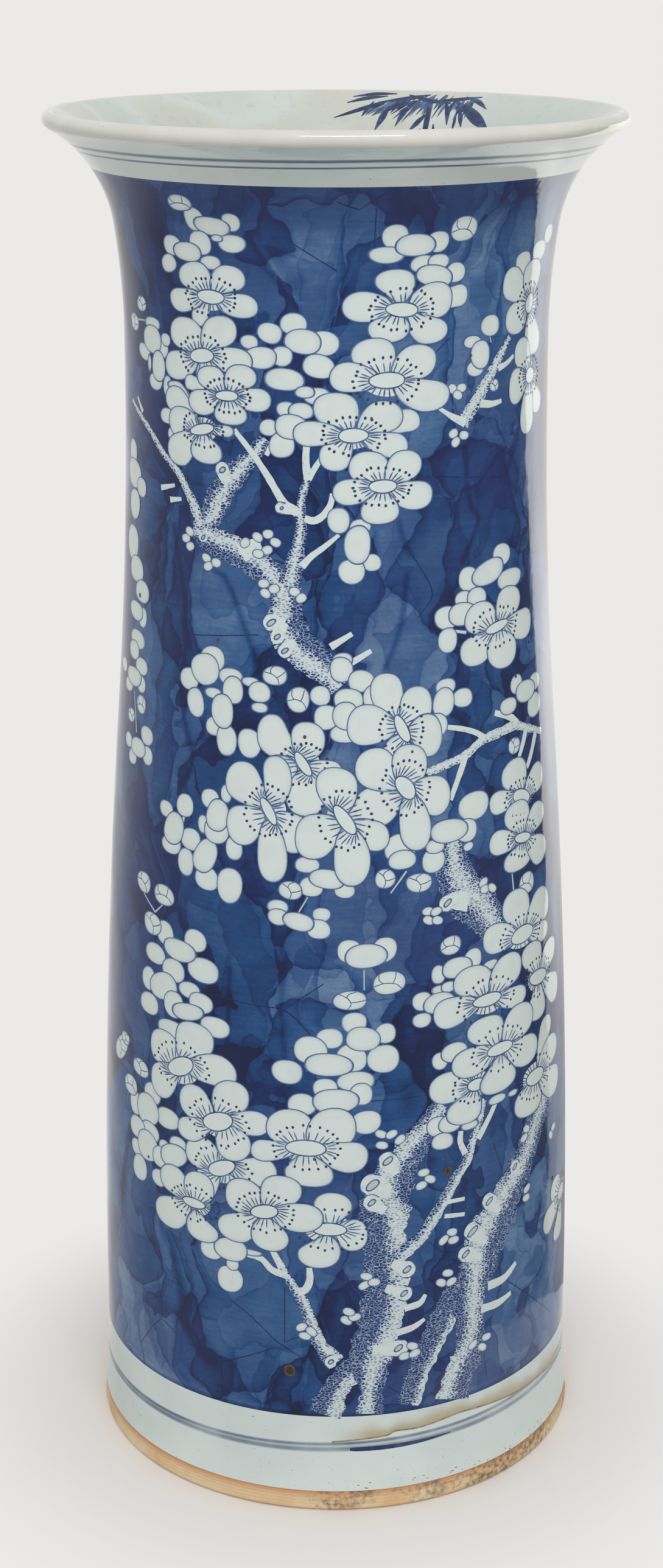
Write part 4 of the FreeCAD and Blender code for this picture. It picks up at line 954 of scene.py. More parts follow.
# Open blossoms: the place of the middle and its oval, the ring of stamen ends, and the petals, as
# turn, height, half width in degrees, half height in mm and, if there is one, lean
OPEN = (
    ((-33.2, 535.8, 3.9, 2.6), (7.7, 7.8), ((-37, 527.5, 2.6, 4), (-38, 543.8, 5, 5.6, 10),
     (-27.5, 543.8, 4.6, 5.2, -5), (-43.2, 533.3, 4, 4.8), (-24.3, 533, 4.5, 5))),
    ((-36.7, 511.8, 3.7, 2.7, 8), (7.5, 8), ((-42, 519.8, 5.8, 6.8), (-30.8, 522.5, 5, 6.2),
     (-45.3, 506.5, 5.2, 5.8), (-26.5, 511, 4.8, 5.5), (-34, 503.5, 4.5, 5.3))),
    ((-36.8, 482, 3.8, 2, 12), (6.8, 7), ((-46, 498, 3.4, 2.2), (-46, 492.5, 4.2, 5.5), (-50, 485, 2.6, 3.4),
     (-47.5, 478, 2, 3), (-44, 483.5, 5, 6.5), (-45, 472, 4.4, 6.5), (-35.5, 473, 5, 5),
     (-29.5, 482.5, 2.6, 2.5))),
    ((-29, 496.8, 3.3, 1.8, 3), (6.6, 6.8), ((-40.5, 500.5, 2.2, 3.2), (-34, 503.5, 4.2, 4.8),
     (-25, 504.8, 4.5, 5), (-21, 496, 4.4, 4.9), (-37, 493, 4.2, 5.2), (-28, 489.5, 4.8, 4.6))),
    ((16.4, 532.3, 4.1, 2.6, -3), (8.3, 8.5), ((31.8, 536.5, 3, 4.5), (14.5, 543.5, 5.2, 5),
     (25, 535.5, 5.2, 7), (6.2, 533.8, 5, 6), (24.2, 523.3, 5, 5.2), (13, 524.5, 5.5, 5))),
    ((4.2, 482.8, 3.7, 2.6), (8, 7.8), ((18, 488, 3.8, 4.6), (-0.3, 493.5, 5.8, 6.5), (11.8, 490, 5.2, 6.3),
     (14.5, 478.3, 4, 5), (-0.5, 474.5, 4, 6), (-7, 483.5, 4, 5.2))),
    ((12.8, 504.5, 4.4, 3), (8.8, 9.5), ((9.3, 515, 5.8, 6.3), (20.8, 511.5, 5, 7), (2.8, 506, 4.5, 6.2),
     (23.8, 497.5, 6, 6.5))),
    ((11.8, 462, 3.4, 2.5), (7.6, 7.9), ((8, 470, 5, 6.5), (17.5, 470, 4.5, 6.3), (3, 460, 3.9, 5.5),
     (20.3, 457.5, 5, 5.8), (11, 452, 5.2, 5.4))),
    ((45.8, 397.5, 4.2, 2, 8), (8.5, 8.5), ((39.8, 403, 5.3, 6.7), (51, 407, 5, 6.5), (57.2, 395, 4.8, 6.5),
     (37.8, 389.3, 5, 6.3), (47.8, 386.5, 6, 7.3))),
    ((16.4, 361, 1.3, 6, 25), (5.6, 10, 15), ((10, 375, 3.4, 6), (26, 361, 2.8, 5), (12.5, 377, 4.2, 8),
     (20.3, 370.5, 4.2, 8), (7.5, 363.5, 5, 8.5), (23.5, 357, 3.6, 9), (15.5, 350.5, 4.4, 6))),
    ((-8.2, 347, 1.1, 5.7, 33), (6, 9, 15), ((-16, 358.5, 4, 8.5), (-7, 357.5, 4.2, 7.5), (-14.5, 341, 3.5, 9),
     (-2, 344, 3.5, 5), (-7.5, 333, 4.6, 8.3))),
    ((-16.6, 326, 1.1, 6.2, 30), (6.2, 11, 12), ((-14.5, 341, 3.6, 9, 10), (-23.5, 337.5, 4.6, 8.5),
     (-23.3, 318.5, 4.3, 8.5), (-10, 317, 4, 8), (-15.5, 305, 3.8, 9.2))),
    ((17, 336, 1.9, 5.5, 38), (6.3, 11.5, 10), ((9.8, 329, 5, 9, 20), (9.5, 345, 4.8, 9), (18.2, 345.5, 4.5, 9),
     (25, 331, 4, 8.5), (19.5, 318, 4.1, 9.3))),
    ((2, 323.5, 1.5, 7, 34), (6.5, 12.5, 12), ((0, 338, 5, 8), (-5.3, 316, 4.8, 9.3), (9.5, 316, 3.3, 6.5),
     (3.8, 305, 4.3, 10))),
    ((53.5, 320.5, 3.8, 3, -15), (7, 8), ((51, 331.5, 5.3, 7), (44.3, 321.7, 3.4, 5.3), (61.5, 325.5, 4, 6.5))),
    ((53.3, 302.2, 3.5, 2, -8), (6.5, 7.8), ((51.5, 313, 5.5, 6.5), (61, 309, 4, 6), (44, 304, 3.7, 5.5),
     (51, 293.5, 5.8, 5.3), (61, 293, 4.5, 6.5))),
    ((52, 258.8, 4.6, 3.6), (8.8, 8.5), ((49.8, 273, 5.5, 7.5), (61, 267, 5, 8.5), (42, 262, 4.3, 7),
     (61, 255, 4, 5))),
    ((58.8, 235, 4.2, 3.3, -8), (7, 9), ((56, 247, 5, 6), (66, 243, 4, 6), (68, 224, 4, 7), (58, 221, 4.5, 6))),
    ((38.8, 235.5, 4.3, 2.7), (8.8, 9.3), ((34.5, 246, 5.7, 6.8), (46, 246, 5.3, 7.2), (27.3, 234, 4, 6.8),
     (48.5, 232, 4.3, 5))),
    ((35, 198, 2.5, 2.5), (6.5, 8), ((26.8, 200, 4.7, 7.2), (31.5, 187, 5, 6))),
    ((56.5, 189, 4, 3.5), (8, 10), ((62.5, 209, 3.5, 5), (65, 196, 5, 7), (53.5, 179.5, 6, 7.5),
     (66, 180, 5, 7.5))),
    ((42.6, 211, 4.3, 2.6), (8.5, 10), ((38, 222, 5.8, 6.2), (50, 220, 5.7, 7.8), (33, 209, 4.8, 7),
     (52, 204.5, 5.5, 7.3), (42, 196.5, 6.2, 5.8))),
    ((-39.9, 204, 4.3, 3.8, 25), (8.5, 11), ((-43, 219.5, 5, 4.5), (-45.5, 209.5, 5.3, 8.3),
     (-35.7, 218.5, 5.5, 8.2), (-29, 207, 5, 7.3), (-46, 194, 4.3, 8))),
    ((-27.7, 162, 3.6, 3.3, 25), (7.5, 10), ((-33.2, 166.5, 4.8, 7.5), (-18, 163.5, 4.2, 7),
     (-34, 150, 4.5, 7.5))),
    ((-28.8, 183.5, 4, 4, 20), (7.8, 10.5), ((-35.5, 189.5, 4.5, 8), (-25.3, 196.5, 4.8, 7.2),
     (-19.3, 186, 3.8, 5.8), (-37, 176, 3.5, 5.5), (-24.7, 174.5, 4.5, 7.8))),
    ((-1.5, 139, 3.8, 2.7), (8.3, 9.8), ((-0.8, 150.5, 4.5, 5.8), (4, 136, 3.3, 7.5), (-4, 126.5, 5, 6))),
    ((-35.5, 141.5, 3.3, 2), (7, 8), ((-42, 149, 4.5, 6.7), (-43, 132.5, 5, 7.5), (-33, 129, 4.5, 5),
     (-34, 150, 4.5, 7))),
    ((-7, 177, 4.7, 3.3), (8, 10.3), ((-10.8, 186, 5.5, 8.5), (-0.8, 186.5, 5.5, 9), (-17, 174, 3.3, 5),
     (3, 173, 4.5, 7), (-6.2, 165, 5.8, 6))),
    ((-16.8, 145.2, 3.2, 3, 12), (7, 9.5), ((-22, 151, 4.8, 8), (-12.8, 156, 4.8, 7.3), (-7.8, 144, 4.8, 6.8),
     (-24, 135, 4.5, 6.8), (-15.5, 133, 4.5, 6.3))),
    ((60, 529, 1.9, 4, -20), (6, 9, -10), ((54.7, 547, 3.5, 4.2), (51, 538.5, 4.2, 7), (60.5, 540.5, 5, 6.5),
     (53.5, 524, 4.7, 6.6), (63.5, 513, 5, 6))),
    ((62, 499, 2.4, 3), (6, 8), ((57.5, 509, 4.2, 6.5), (54.5, 496, 3.5, 7.5), (67, 487, 4, 5),
     (60.5, 482, 4, 7))),
    ((74, 118, 3, 3.5), (6, 9), ((69, 124, 4, 6), (63.5, 112, 3, 6.5), (71, 101, 4, 5))))
# Blossoms seen from the side: petals in the order they were laid, the front one last
SIDE = (
    ((-35.8, 566.5, 2.8, 4.5), (-25.5, 566, 2.4, 3.5), (-26, 557.5, 3.6, 3.6), (-31, 564, 4.8, 3.7, -5),
     (-30, 559.3, 1.7, 1.5)),
    ((-44.5, 555, 3, 4), (-46.5, 547.5, 2.8, 3.5, 20), (-35, 557, 3.2, 4.6), (-32.5, 549.5, 3, 2.8),
     (-39.5, 553, 4.4, 3.8)),
    ((-56, 521.5, 3.8, 2.6), (-61, 509, 3.4, 3.2, -15), (-52.5, 512, 3.3, 4.2), (-50, 516, 2, 2.6),
     (-58, 505, 1, 3.5), (-55, 498, 3.2, 3.4), (-49.5, 497, 1.8, 4.5), (-56.5, 515, 4.2, 5.6),
     (-53.5, 504.5, 3, 6)),
    ((-17, 523, 3.2, 4, -15), (-10.8, 527, 3.3, 4.2), (-3, 519.5, 3.5, 4.8), (-4.5, 510.3, 3.9, 4.7, -10),
     (-8.5, 520, 4.5, 4.8, -8)),
    ((-22.5, 519, 2.5, 2.8), (-13.8, 514, 2.7, 3.8), (-19.5, 513, 4.2, 4.3), (-13.3, 504.8, 5, 4.3)),
    ((-5, 498.5, 3.4, 3.3), (-8, 500, 2.5, 2.4), (-13, 493, 2.4, 3), (-9, 492.5, 3.2, 3.2),
     (-17.5, 485.3, 2.4, 3.3), (-14, 478.5, 3.2, 5), (-11.5, 486, 4.2, 4.8)),
    ((14, 561, 3.2, 4.8), (12, 554, 4.3, 3.3), (25, 558.5, 2.8, 4.2), (19.2, 557.5, 5.1, 4.2)),
    ((21.5, 550, 3.4, 3.4), (25.5, 550.5, 2.8, 3.2), (30.5, 545.8, 2.8, 4), (24.7, 545, 4.8, 4.2, -10)),
    ((43, 523, 3.2, 4.3), (37, 517.3, 2.9, 2.6), (38.2, 506.5, 2.8, 3.3), (39.8, 511.8, 3.1, 5.7)),
    ((6, 446, 2.7, 3), (0.5, 448.5, 2.8, 5), (9, 431, 2.2, 3.6), (3.8, 427.5, 3.2, 5), (5.3, 438.5, 3.3, 7.5)),
    ((-33, 387.5, 3.7, 5), (-40.3, 377, 3, 4.7), (-38, 367.5, 2.7, 6, 15), (-35.3, 382.5, 4.3, 6.3, 15)),
    ((-27.5, 381, 3.4, 3.6), (-26.8, 375.5, 2.9, 5.5), (-32.5, 373, 2.6, 2.3), (-32, 359, 2.4, 4),
     (-28.3, 354, 2.8, 6.5), (-29.7, 366, 3.1, 7)),
    ((-22, 380, 2.5, 2), (-19.4, 369.5, 2.2, 2.2), (-22, 354, 3, 6), (-19.5, 376, 2.8, 4.3)),
    ((48.2, 427.5, 3.4, 4.7), (36, 420.3, 3.1, 5), (51.5, 416.3, 5.2, 4.3), (43, 421.5, 5.8, 4.8, 12)),
    ((34.2, 412.3, 2.6, 3.3), (38.7, 412, 3.2, 4), (29, 405.5, 3.4, 4.7), (29.3, 396, 2.8, 5),
     (34, 406, 4.2, 4.8)),
    ((53.3, 370, 2.7, 4), (63, 367.5, 3.2, 3.8), (49.5, 362, 3.5, 3.5), (62.2, 357.5, 4, 5),
     (57.8, 365.5, 5, 4.5, -4)),
    ((28.5, 376.5, 2.8, 3.6), (33.5, 370.7, 3, 4), (27.8, 370, 2.9, 6.2, -10)),
    ((1.5, 391, 2.5, 3), (1.2, 387, 2.8, 5), (6.2, 382, 3.2, 4.5), (3, 374, 3.5, 5), (-4, 376, 2.5, 4),
     (-2.5, 367, 3, 5), (2, 360, 3.5, 3.8), (2.3, 367.5, 3.1, 5.7)),
    ((-70, 465, 3, 5), (-69, 456, 5, 6), (-63.5, 451.5, 3, 4), (-68.5, 443, 3.8, 6.2), (-70, 426, 4.5, 7),
     (-66.5, 415.5, 4.5, 5.5), (-62.3, 407, 4, 4.8), (-61.5, 396, 2.4, 4.3), (-66, 397.5, 4.5, 4),
     (-64.5, 385.5, 4.5, 4)),
    ((-66.5, 380, 3.5, 4), (-61.3, 374.7, 3.4, 3.8), (-60.8, 367, 2.2, 3.8), (-75, 370, 3, 3),
     (-69.5, 363.5, 3, 3), (-66, 368.5, 5, 4)),
    ((-56.8, 346, 3, 4), (-56, 337.5, 2.4, 4), (-67.5, 339.5, 2.5, 3.2), (-64.2, 333.5, 2.4, 3.5),
     (-61.3, 338.8, 4, 4.2)),
    ((-40.4, 322, 2.7, 5), (-47, 318, 2.5, 3.5), (-44.7, 303, 3.4, 4), (-39.6, 297.5, 2.5, 5.8),
     (-38.2, 308, 3.1, 4.6), (-44, 310.5, 3.2, 7.2, -15)),
    ((-33, 292.5, 3.4, 5), (-26.5, 291.5, 3.3, 7.5), (-33.6, 302.3, 3.1, 7.7, -25)),
    ((-32.5, 327.5, 2.6, 4.3), (-34.5, 316, 1.5, 4), (-30.5, 314, 3.5, 5), (-25.5, 308, 2.2, 5),
     (-28, 331, 1.5, 4), (-30.3, 321, 3, 7, -10)),
    ((15.5, 310, 3.8, 6), (16, 305, 3.5, 4), (24, 303, 3, 5), (24.5, 309, 2.5, 3), (36, 323.5, 4.5, 6),
     (33.5, 313.5, 3, 5), (28.5, 314.8, 5, 5)),
    ((-14, 285, 2.5, 3), (-14, 280.5, 2.4, 3.5), (-3.5, 282.5, 2.2, 3), (-4.2, 276, 2.7, 4.2),
     (-9, 279, 3.7, 3.8, -15)),
    ((-7, 304, 2.9, 3.5), (-6, 294.5, 2.7, 4.3), (2, 293, 2.5, 3.2), (-2.3, 298, 4, 4.2, -8)),
    ((-46, 262.5, 2.9, 5.2), (-36, 263.5, 3.2, 5), (-49.5, 251.3, 3.7, 4.6), (-33.5, 251, 4.5, 5.3),
     (-42.8, 247, 3.6, 5.2), (-41, 257, 5, 4.8)),
    ((3, 266.5, 2.7, 5), (11.5, 266.5, 2.8, 5.3), (7, 264, 4.8, 5.2)),
    ((34.5, 256, 2.6, 4.5), (24.8, 252.3, 1.8, 4.2), (40, 251, 2.5, 2.2), (30, 253.8, 4, 4.5)),
    ((-52, 238.5, 2.6, 5.2), (-51.5, 227, 3.5, 5), (-37.5, 240.5, 3.3, 3.6), (-46.3, 238, 4.8, 6, 20)),
    ((-42.5, 231.5, 3.2, 5.8), (-34, 236, 3.5, 4.4), (-29.8, 226.8, 3.9, 4.6), (-38, 230.3, 4.8, 3.8, 8)),
    ((-49.7, 185.5, 3.2, 4.8), (-57, 176, 2.5, 5.5), (-44, 177, 3.8, 4.8), (-51.7, 176.5, 4.2, 7.2, 20)),
    ((-50.5, 166.5, 3.5, 4.5), (-56, 165, 3.4, 5), (-56, 155, 2.6, 4), (-54.8, 146, 3, 6),
     (-51.5, 159, 4, 7, 15)),
    ((-40.5, 167, 2.8, 3.2), (-45, 163, 2, 3), (-46.5, 157, 2.7, 5), (-47, 146.5, 2.6, 4),
     (-42, 160.5, 4.3, 5.2, 15)),
    ((-1.5, 227.5, 3, 4.5), (-6, 222, 3.8, 6), (3.5, 218.5, 3.5, 6), (4.5, 208, 4.3, 4.3),
     (-11.5, 211.5, 3.6, 5.2), (-1.8, 215.5, 5.4, 5)),
    ((-2.5, 204.5, 2.8, 4.8), (-8, 197, 3.3, 4.8), (5.8, 202, 2.5, 5), (7, 189, 3.3, 5.3),
     (-0.2, 199, 5.2, 5.3)),
    ((4.2, 234.5, 2.9, 4.5), (11.5, 229, 2.5, 4.3), (11, 217.5, 3.6, 6.2), (6.2, 227, 3.9, 5.2, -10)),
    ((20.5, 241.5, 2.3, 4.2), (25, 245.5, 2, 2), (27.5, 246, 2, 2.5), (20.5, 233, 2.4, 3.2),
     (25, 239.5, 4, 4.5)),
    ((25, 213, 2, 4), (29, 215.5, 3.5, 4.5)),
    ((47, 187.5, 2, 1.5), (41.5, 187.8, 3, 2.2)),
    ((24.3, 183, 2.7, 4.5), (27.5, 183, 3, 4), (33, 180, 2.5, 2.2), (25.5, 175.5, 2.8, 3.8)),
    ((-30.5, 122, 3, 5), (-20, 124.5, 3, 1.5), (-25.5, 109.5, 3.3, 6), (-24.8, 117, 1.6, 3),
     (-25.3, 124, 4.2, 5.3)),
    ((63, 550, 4, 4), (68, 556, 3, 4)))
BUDS = ((-39, 572.5, 3.8, 3.5), (31.8, 563, 3.8, 5.3), (-61.5, 528.5, 2.8, 3.4), (-67, 520, 3, 3.8),
    (45, 498.5, 1.8, 2.8), (-15.5, 383.5, 3.3, 4.3), (-9.5, 374, 3, 5.5), (-60.5, 358.3, 2.7, 4.2),
    (-66.5, 351, 2.6, 3.2), (51.2, 344, 2.6, 3.8), (11.7, 297.5, 2.7, 4.3), (20.2, 294.3, 3.6, 4.3),
    (-11, 292.5, 3, 4.2), (-55.3, 281, 3.2, 4.9), (-46.8, 279.3, 3.8, 4.9), (-51, 264.3, 3.6, 5.2),
    (54.5, 281, 3.6, 5), (28.3, 264.3, 3, 4.4), (12.5, 251.5, 4.1, 5.4), (3.2, 244.5, 4.3, 4.4),
    (-65.5, 197, 5, 5, 40), (-62.8, 203, 2.5, 3.2), (-54.8, 194.3, 3.6, 4.3), (-59.5, 183, 3.3, 5))
# the edges of a bud's folded petals, on a round bud of radius 1
BUD_VEINS = (((-0.86, 0.3), (-0.2, 0.12), (0.25, -0.35), (0.3, -0.88)), ((0.8, 0.45), (0.45, 0.05), (0.1, -0.2)),
             ((-0.1, 0.92), (-0.35, 0.55), (-0.3, 0.16)))
STALKS = (((-64.5, 521.5, 1), (-60, 522, 1)), ((17, 300, 1.2), (13, 291, 1)), ((-6.8, 290, 1), (-9, 283, 1)),
    ((-55, 276, 1), (-50, 270, 1.2)), ((-47, 275, 1), (-50, 270, 1.2)), ((48.3, 290, 1), (48.8, 280, 1.4)),
    ((6.5, 258, 1), (6.5, 249, 1)), ((-65, 362, 1), (-62.5, 345, 1.2)), ((43, 519, 1), (43.5, 516, 1)),
    ((30, 400, 1.6), (35, 398, 1.8)), ((-40.6, 317, 1.8), (-41.3, 312, 1.4)))
# how ragged the edges are, as a share of the width, how blue the sides are, and the place of a twig's highlight
TRUNK_ROUGH, LOBE_ROUGH, TWIG_ROUGH, LOBE_SHADE, TWIG_SHADE, TWIG_BARE = 0.16, 0.12, 0.08, 0.24, 0.2, 0.35
# a trunk's shade: on a hair-thin one, the width in mm that adds 1, and the most; and from what width it has
# the bark's finer rows
TRUNK_SHADE, TRUNK_DEEPENS, TRUNK_DARKEST, TRUNK_WIDE = 0.25, 13, 1.12, 7
# how much wider twigs, petals and petals seen from the side are painted than the tables say
TWIG_GROWS, PETAL_GROWS, SIDE_GROWS = 1.15, 1.03, 1.08
# a knot: the share of its size that is drawn, its rim in mm, its lean, tone, and the line round its lobe
KNOT_SHARE, KNOT_RIM, KNOT_LEAN, KNOT_TINT, LOBE_LINE = 0.56, (0.7, 0.8), 38, 0.4, 1.3
MOSS_SIZE, MOSS_OUTLINE, STALK_OUTLINE, VEIN_WIDTH = (1.65, 2.05), 1.3, 1.5, 0.4
# a blossom: its heart against the ring of stamens, the line round its oval, a stamen's end, its width, where
# it leaves the oval and where it is drawn to, as shares of the way to the ring
HEART, OVAL_LINE, STAMEN_END, STAMEN_WIDE = 0.7, (0.36, 0.62), (1.4, 1.15), 0.58
STAMENS, STAMEN_ROOT, STAMEN_START, STAMEN_STOP, STAMEN_SWAY = 26, 1.12, 1.18, (0.55, 0.74), 0.22
REGIONS = {"upper": 410, "middle": 230, "lower": 0}
layers = {(kind, f"{side}_{part}"): Layer()
          for side in ("front", "back") for part in REGIONS for kind in PAINTED}
# the front as it is, and the back as its mirror image: a turn there is the first plus the second times it
SIDES = ((0, 1), (180, -1))


def layer_at(kind, turn, height):
    """The layer for one kind of painting on a part of the wall: front or back, and the first region
    whose lower border is below the height."""
    part = next(part for part, low in REGIONS.items() if height > low)
    return layers[kind, f"{'front' if -90 <= turn <= 90 else 'back'}_{part}"]


def signed(given, sign):
    """A lean or a highlight's place with the side's sign, or 0 where the table leaves it out."""
    return sign * given[0] if given else 0


def blossom(middle, ring, petals, about, sign):
    """An open blossom: a white heart, its petals in order, the oval in the middle, then stamens that
    run from the oval towards a ring of dots."""
    turn, height, oval_turn, oval_height, *lean = middle
    ring_turn, ring_height, *ring_lean = ring
    rng = np.random.default_rng(int(height * 10 + abs(turn)))
    turn, lean, ring_lean = about + sign * turn, signed(lean, sign), signed(ring_lean, sign)
    white, lines, ends = (layer_at(kind, turn, height) for kind in ("blossoms", "brush_lines", "stamen_ends"))
    oval(white, turn, height, ring_turn * HEART, ring_height * HEART, ring_lean, outline=PLAIN, flat=2.0)
    for seed, (t, h, half_turn, half_height, *petal_lean) in enumerate(petals):
        oval(white, about + sign * t, h, half_turn * PETAL_GROWS, half_height * PETAL_GROWS,
             signed(petal_lean, sign), seed=seed, root=(turn, height))
    oval(lines, turn, height, oval_turn + OVAL_LINE[0], oval_height + OVAL_LINE[1], lean, flat=2.0)
    oval(white, turn, height, oval_turn, oval_height, lean, outline=PLAIN, flat=2.0)
    scale = float(degree_at(height))
    level = level_for(turn, height, ring_turn, ring_height)
    angle = (np.arange(STAMENS) + rng.uniform(-STAMEN_SWAY, STAMEN_SWAY, STAMENS)) * 2 * np.pi / STAMENS
    (ox, oy), (rx, ry) = (rotated(half_a * scale * np.cos(angle), half_b * np.sin(angle), math.radians(by))
                          for half_a, half_b, by in ((oval_turn, oval_height, lean),
                                                     (ring_turn, ring_height, ring_lean)))
    stretch = rng.uniform(0.92, 1.05, STAMENS)
    dots(ends, turn + rx * stretch / scale, height + ry * stretch, *STAMEN_END, np.degrees(angle), level)
    reach = rng.uniform(*STAMEN_STOP, STAMENS)
    ex, ey = (o * STAMEN_START + (r - o * STAMEN_START) * reach for o, r in ((ox, rx), (oy, ry)))
    dots(lines, turn + (ox * STAMEN_ROOT + ex) / 2 / scale, height + (oy * STAMEN_ROOT + ey) / 2,
         np.hypot(ex - ox, ey - oy), STAMEN_WIDE, np.degrees(np.arctan2(ey - oy, ex - ox)), level)


for about, sign in SIDES:
    for path in TRUNKS:
        turn, height = path[len(path) // 2][:2]
        widest = max(place[2] for place in path)
        stroke(layer_at("trunks", about + sign * turn, height),
               [(about + sign * t, h, w, signed(bare, sign)) for t, h, w, *bare in path], rough=TRUNK_ROUGH,
               shade=min(TRUNK_DARKEST, TRUNK_SHADE + widest / TRUNK_DEEPENS),
               across=BARK_ACROSS if widest > TRUNK_WIDE else TWIG_ACROSS)
    for path in TWIGS:
        stroke(layer_at("trunks", about + sign * path[0][0], path[0][1]),
               [(about + sign * t, h, w * TWIG_GROWS, TWIG_BARE * sign) for t, h, w in path],
               rough=TWIG_ROUGH, shade=TWIG_SHADE)
    for turn, height, long, short in KNOTS:
        scale = float(degree_at(height))
        root = min((place for path in TRUNKS for place in path),
                   key=lambda place: math.hypot((place[0] - turn) * scale, place[1] - height))
        start, turn = about + sign * root[0], about + sign * turn
        along_turn, along_height = turn - start, height - root[1]
        round_end = short / (math.hypot(along_turn * scale, along_height) + 0.1)
        ways = [(share + more * round_end, short * wide) for share, more, wide in KNOT_LOBE]
        lobe = [(start + way * along_turn, root[1] + way * along_height, wide, 0) for way, wide in ways]
        lines = layer_at("brush_lines", turn, height)
        stroke(lines, [(t, h, w + LOBE_LINE) for t, h, w, bare in lobe[2:]], across=LINE_ACROSS)
        level = stroke(layer_at("trunks", turn, height), lobe, rough=LOBE_ROUGH, shade=LOBE_SHADE,
                       across=BARK_ACROSS)
        for less, layer in ((0, lines), (KNOT_RIM[0], layer_at("branches", turn, height))):
            level += 1
            oval(layer, turn, height, (long * KNOT_SHARE - less) / scale, short * KNOT_SHARE - less * KNOT_RIM[1],
                 sign * KNOT_LEAN, level=level, outline=PLAIN, sides=14, tint=less * KNOT_TINT)
    for at, (turn, height) in enumerate(MOSS):
        turn = about + sign * turn
        oval(layer_at("branches", turn, height), turn, height, *MOSS_SIZE, sign * (at * 47 % 80 - 40),
             outline=MOSS_OUTLINE, sides=16)
    for path in STALKS:
        stroke(layer_at("branches", about + sign * path[0][0], path[0][1]),
               [(about + sign * t, h, w) for t, h, w in path], outline=STALK_OUTLINE)
    for group in SIDE:
        for seed, (turn, height, half_turn, half_height, *lean) in enumerate(group):
            turn = about + sign * turn
            oval(layer_at("blossoms", turn, height), turn, height, half_turn * SIDE_GROWS,
                 half_height * SIDE_GROWS, signed(lean, sign), seed=seed)
    for turn, height, half_turn, half_height, *lean in BUDS:
        swing = math.radians(int(turn * 37 + height * 11) % 90 - 45)
        middle = about + sign * turn
        level = oval(layer_at("blossoms", middle, height), middle, height, half_turn, half_height,
                     signed(lean, sign))
        for vein in BUD_VEINS:
            spots = [rotated(x, y, swing) for x, y in vein]
            stroke(layer_at("brush_lines", middle, height),
                   [(about + sign * (turn + half_turn * x), height + half_height * y, VEIN_WIDTH)
                    for x, y in spots], level=level + 1)
    for middle, ring, petals in OPEN:
        blossom(middle, ring, petals, about, sign)

for (kind, region), layer in layers.items():
    layer.finish(f"{kind}_{region}", *PAINTED[kind])

# Cracked ice: thin straight lines of cobalt drawn with a fine brush across the wet wash. They meet at
# sharp angles like cracks in a frozen pond, and lie under every petal and branch.
ICE = (((26, 464.5), (48, 460)), ((19, 434), (22, 427), (25, 416), (21, 407)), ((5, 572), (12, 580)), ((9, 578),
    (9, 557)), ((5, 572), (0, 575)), ((-39, 396), (-20, 400)), ((-33, 242), (-20, 240), (-12, 239), (-6, 229)),
    ((-12, 240), (-3, 252)), ((-12, 110), (-12, 83)), ((-12, 83), (-8, 87)), ((-14, 83), (-20, 93), (-25, 99)),
    ((-14, 83), (-7, 75)), ((-28, 67), (-28, 48)), ((-28, 67), (-15, 79)), ((-48, 100), (-46, 80), (-50, 70),
    (-55, 57)), ((-46, 77), (-41, 73)), ((45, 97), (67, 61)), ((8, 198.5), (20, 198.5)), ((40, 168), (43, 153)),
    ((12, 61), (16, 55)), ((37.5, 65), (38.5, 53)), ((22, 129), (29, 116)), ((60, 437), (70, 452)), ((-62, 300),
    (-52, 312)), ((-60, 240), (-68, 250)), ((30, 520), (24, 512)), ((-12, 560), (0, 548)), ((-70, 140),
    (-60, 128)))
# its level under the first patch, its width in mm and the length of its steps
ICE_LEVEL, ICE_WIDTH, ICE_STEP = -1.4, 0.45, 2.0


def ice_paint(tree, place):
    """A hair line of strong cobalt, broken here and there."""
    return mottled(tree, place, 150.0, 2.0, (0.35, "051439"), (0.65, "0d2f62"))


ice_layer = Layer()
for about, sign in SIDES:
    for path in ICE:
        stroke(ice_layer, [(about + sign * t, h, ICE_WIDTH) for t, h in path], level=ICE_LEVEL,
               across=LINE_ACROSS, step=ICE_STEP)
ice_layer.finish("ice_lines", "cobalt_ground", glazed("ice line under clear glaze", ice_paint))

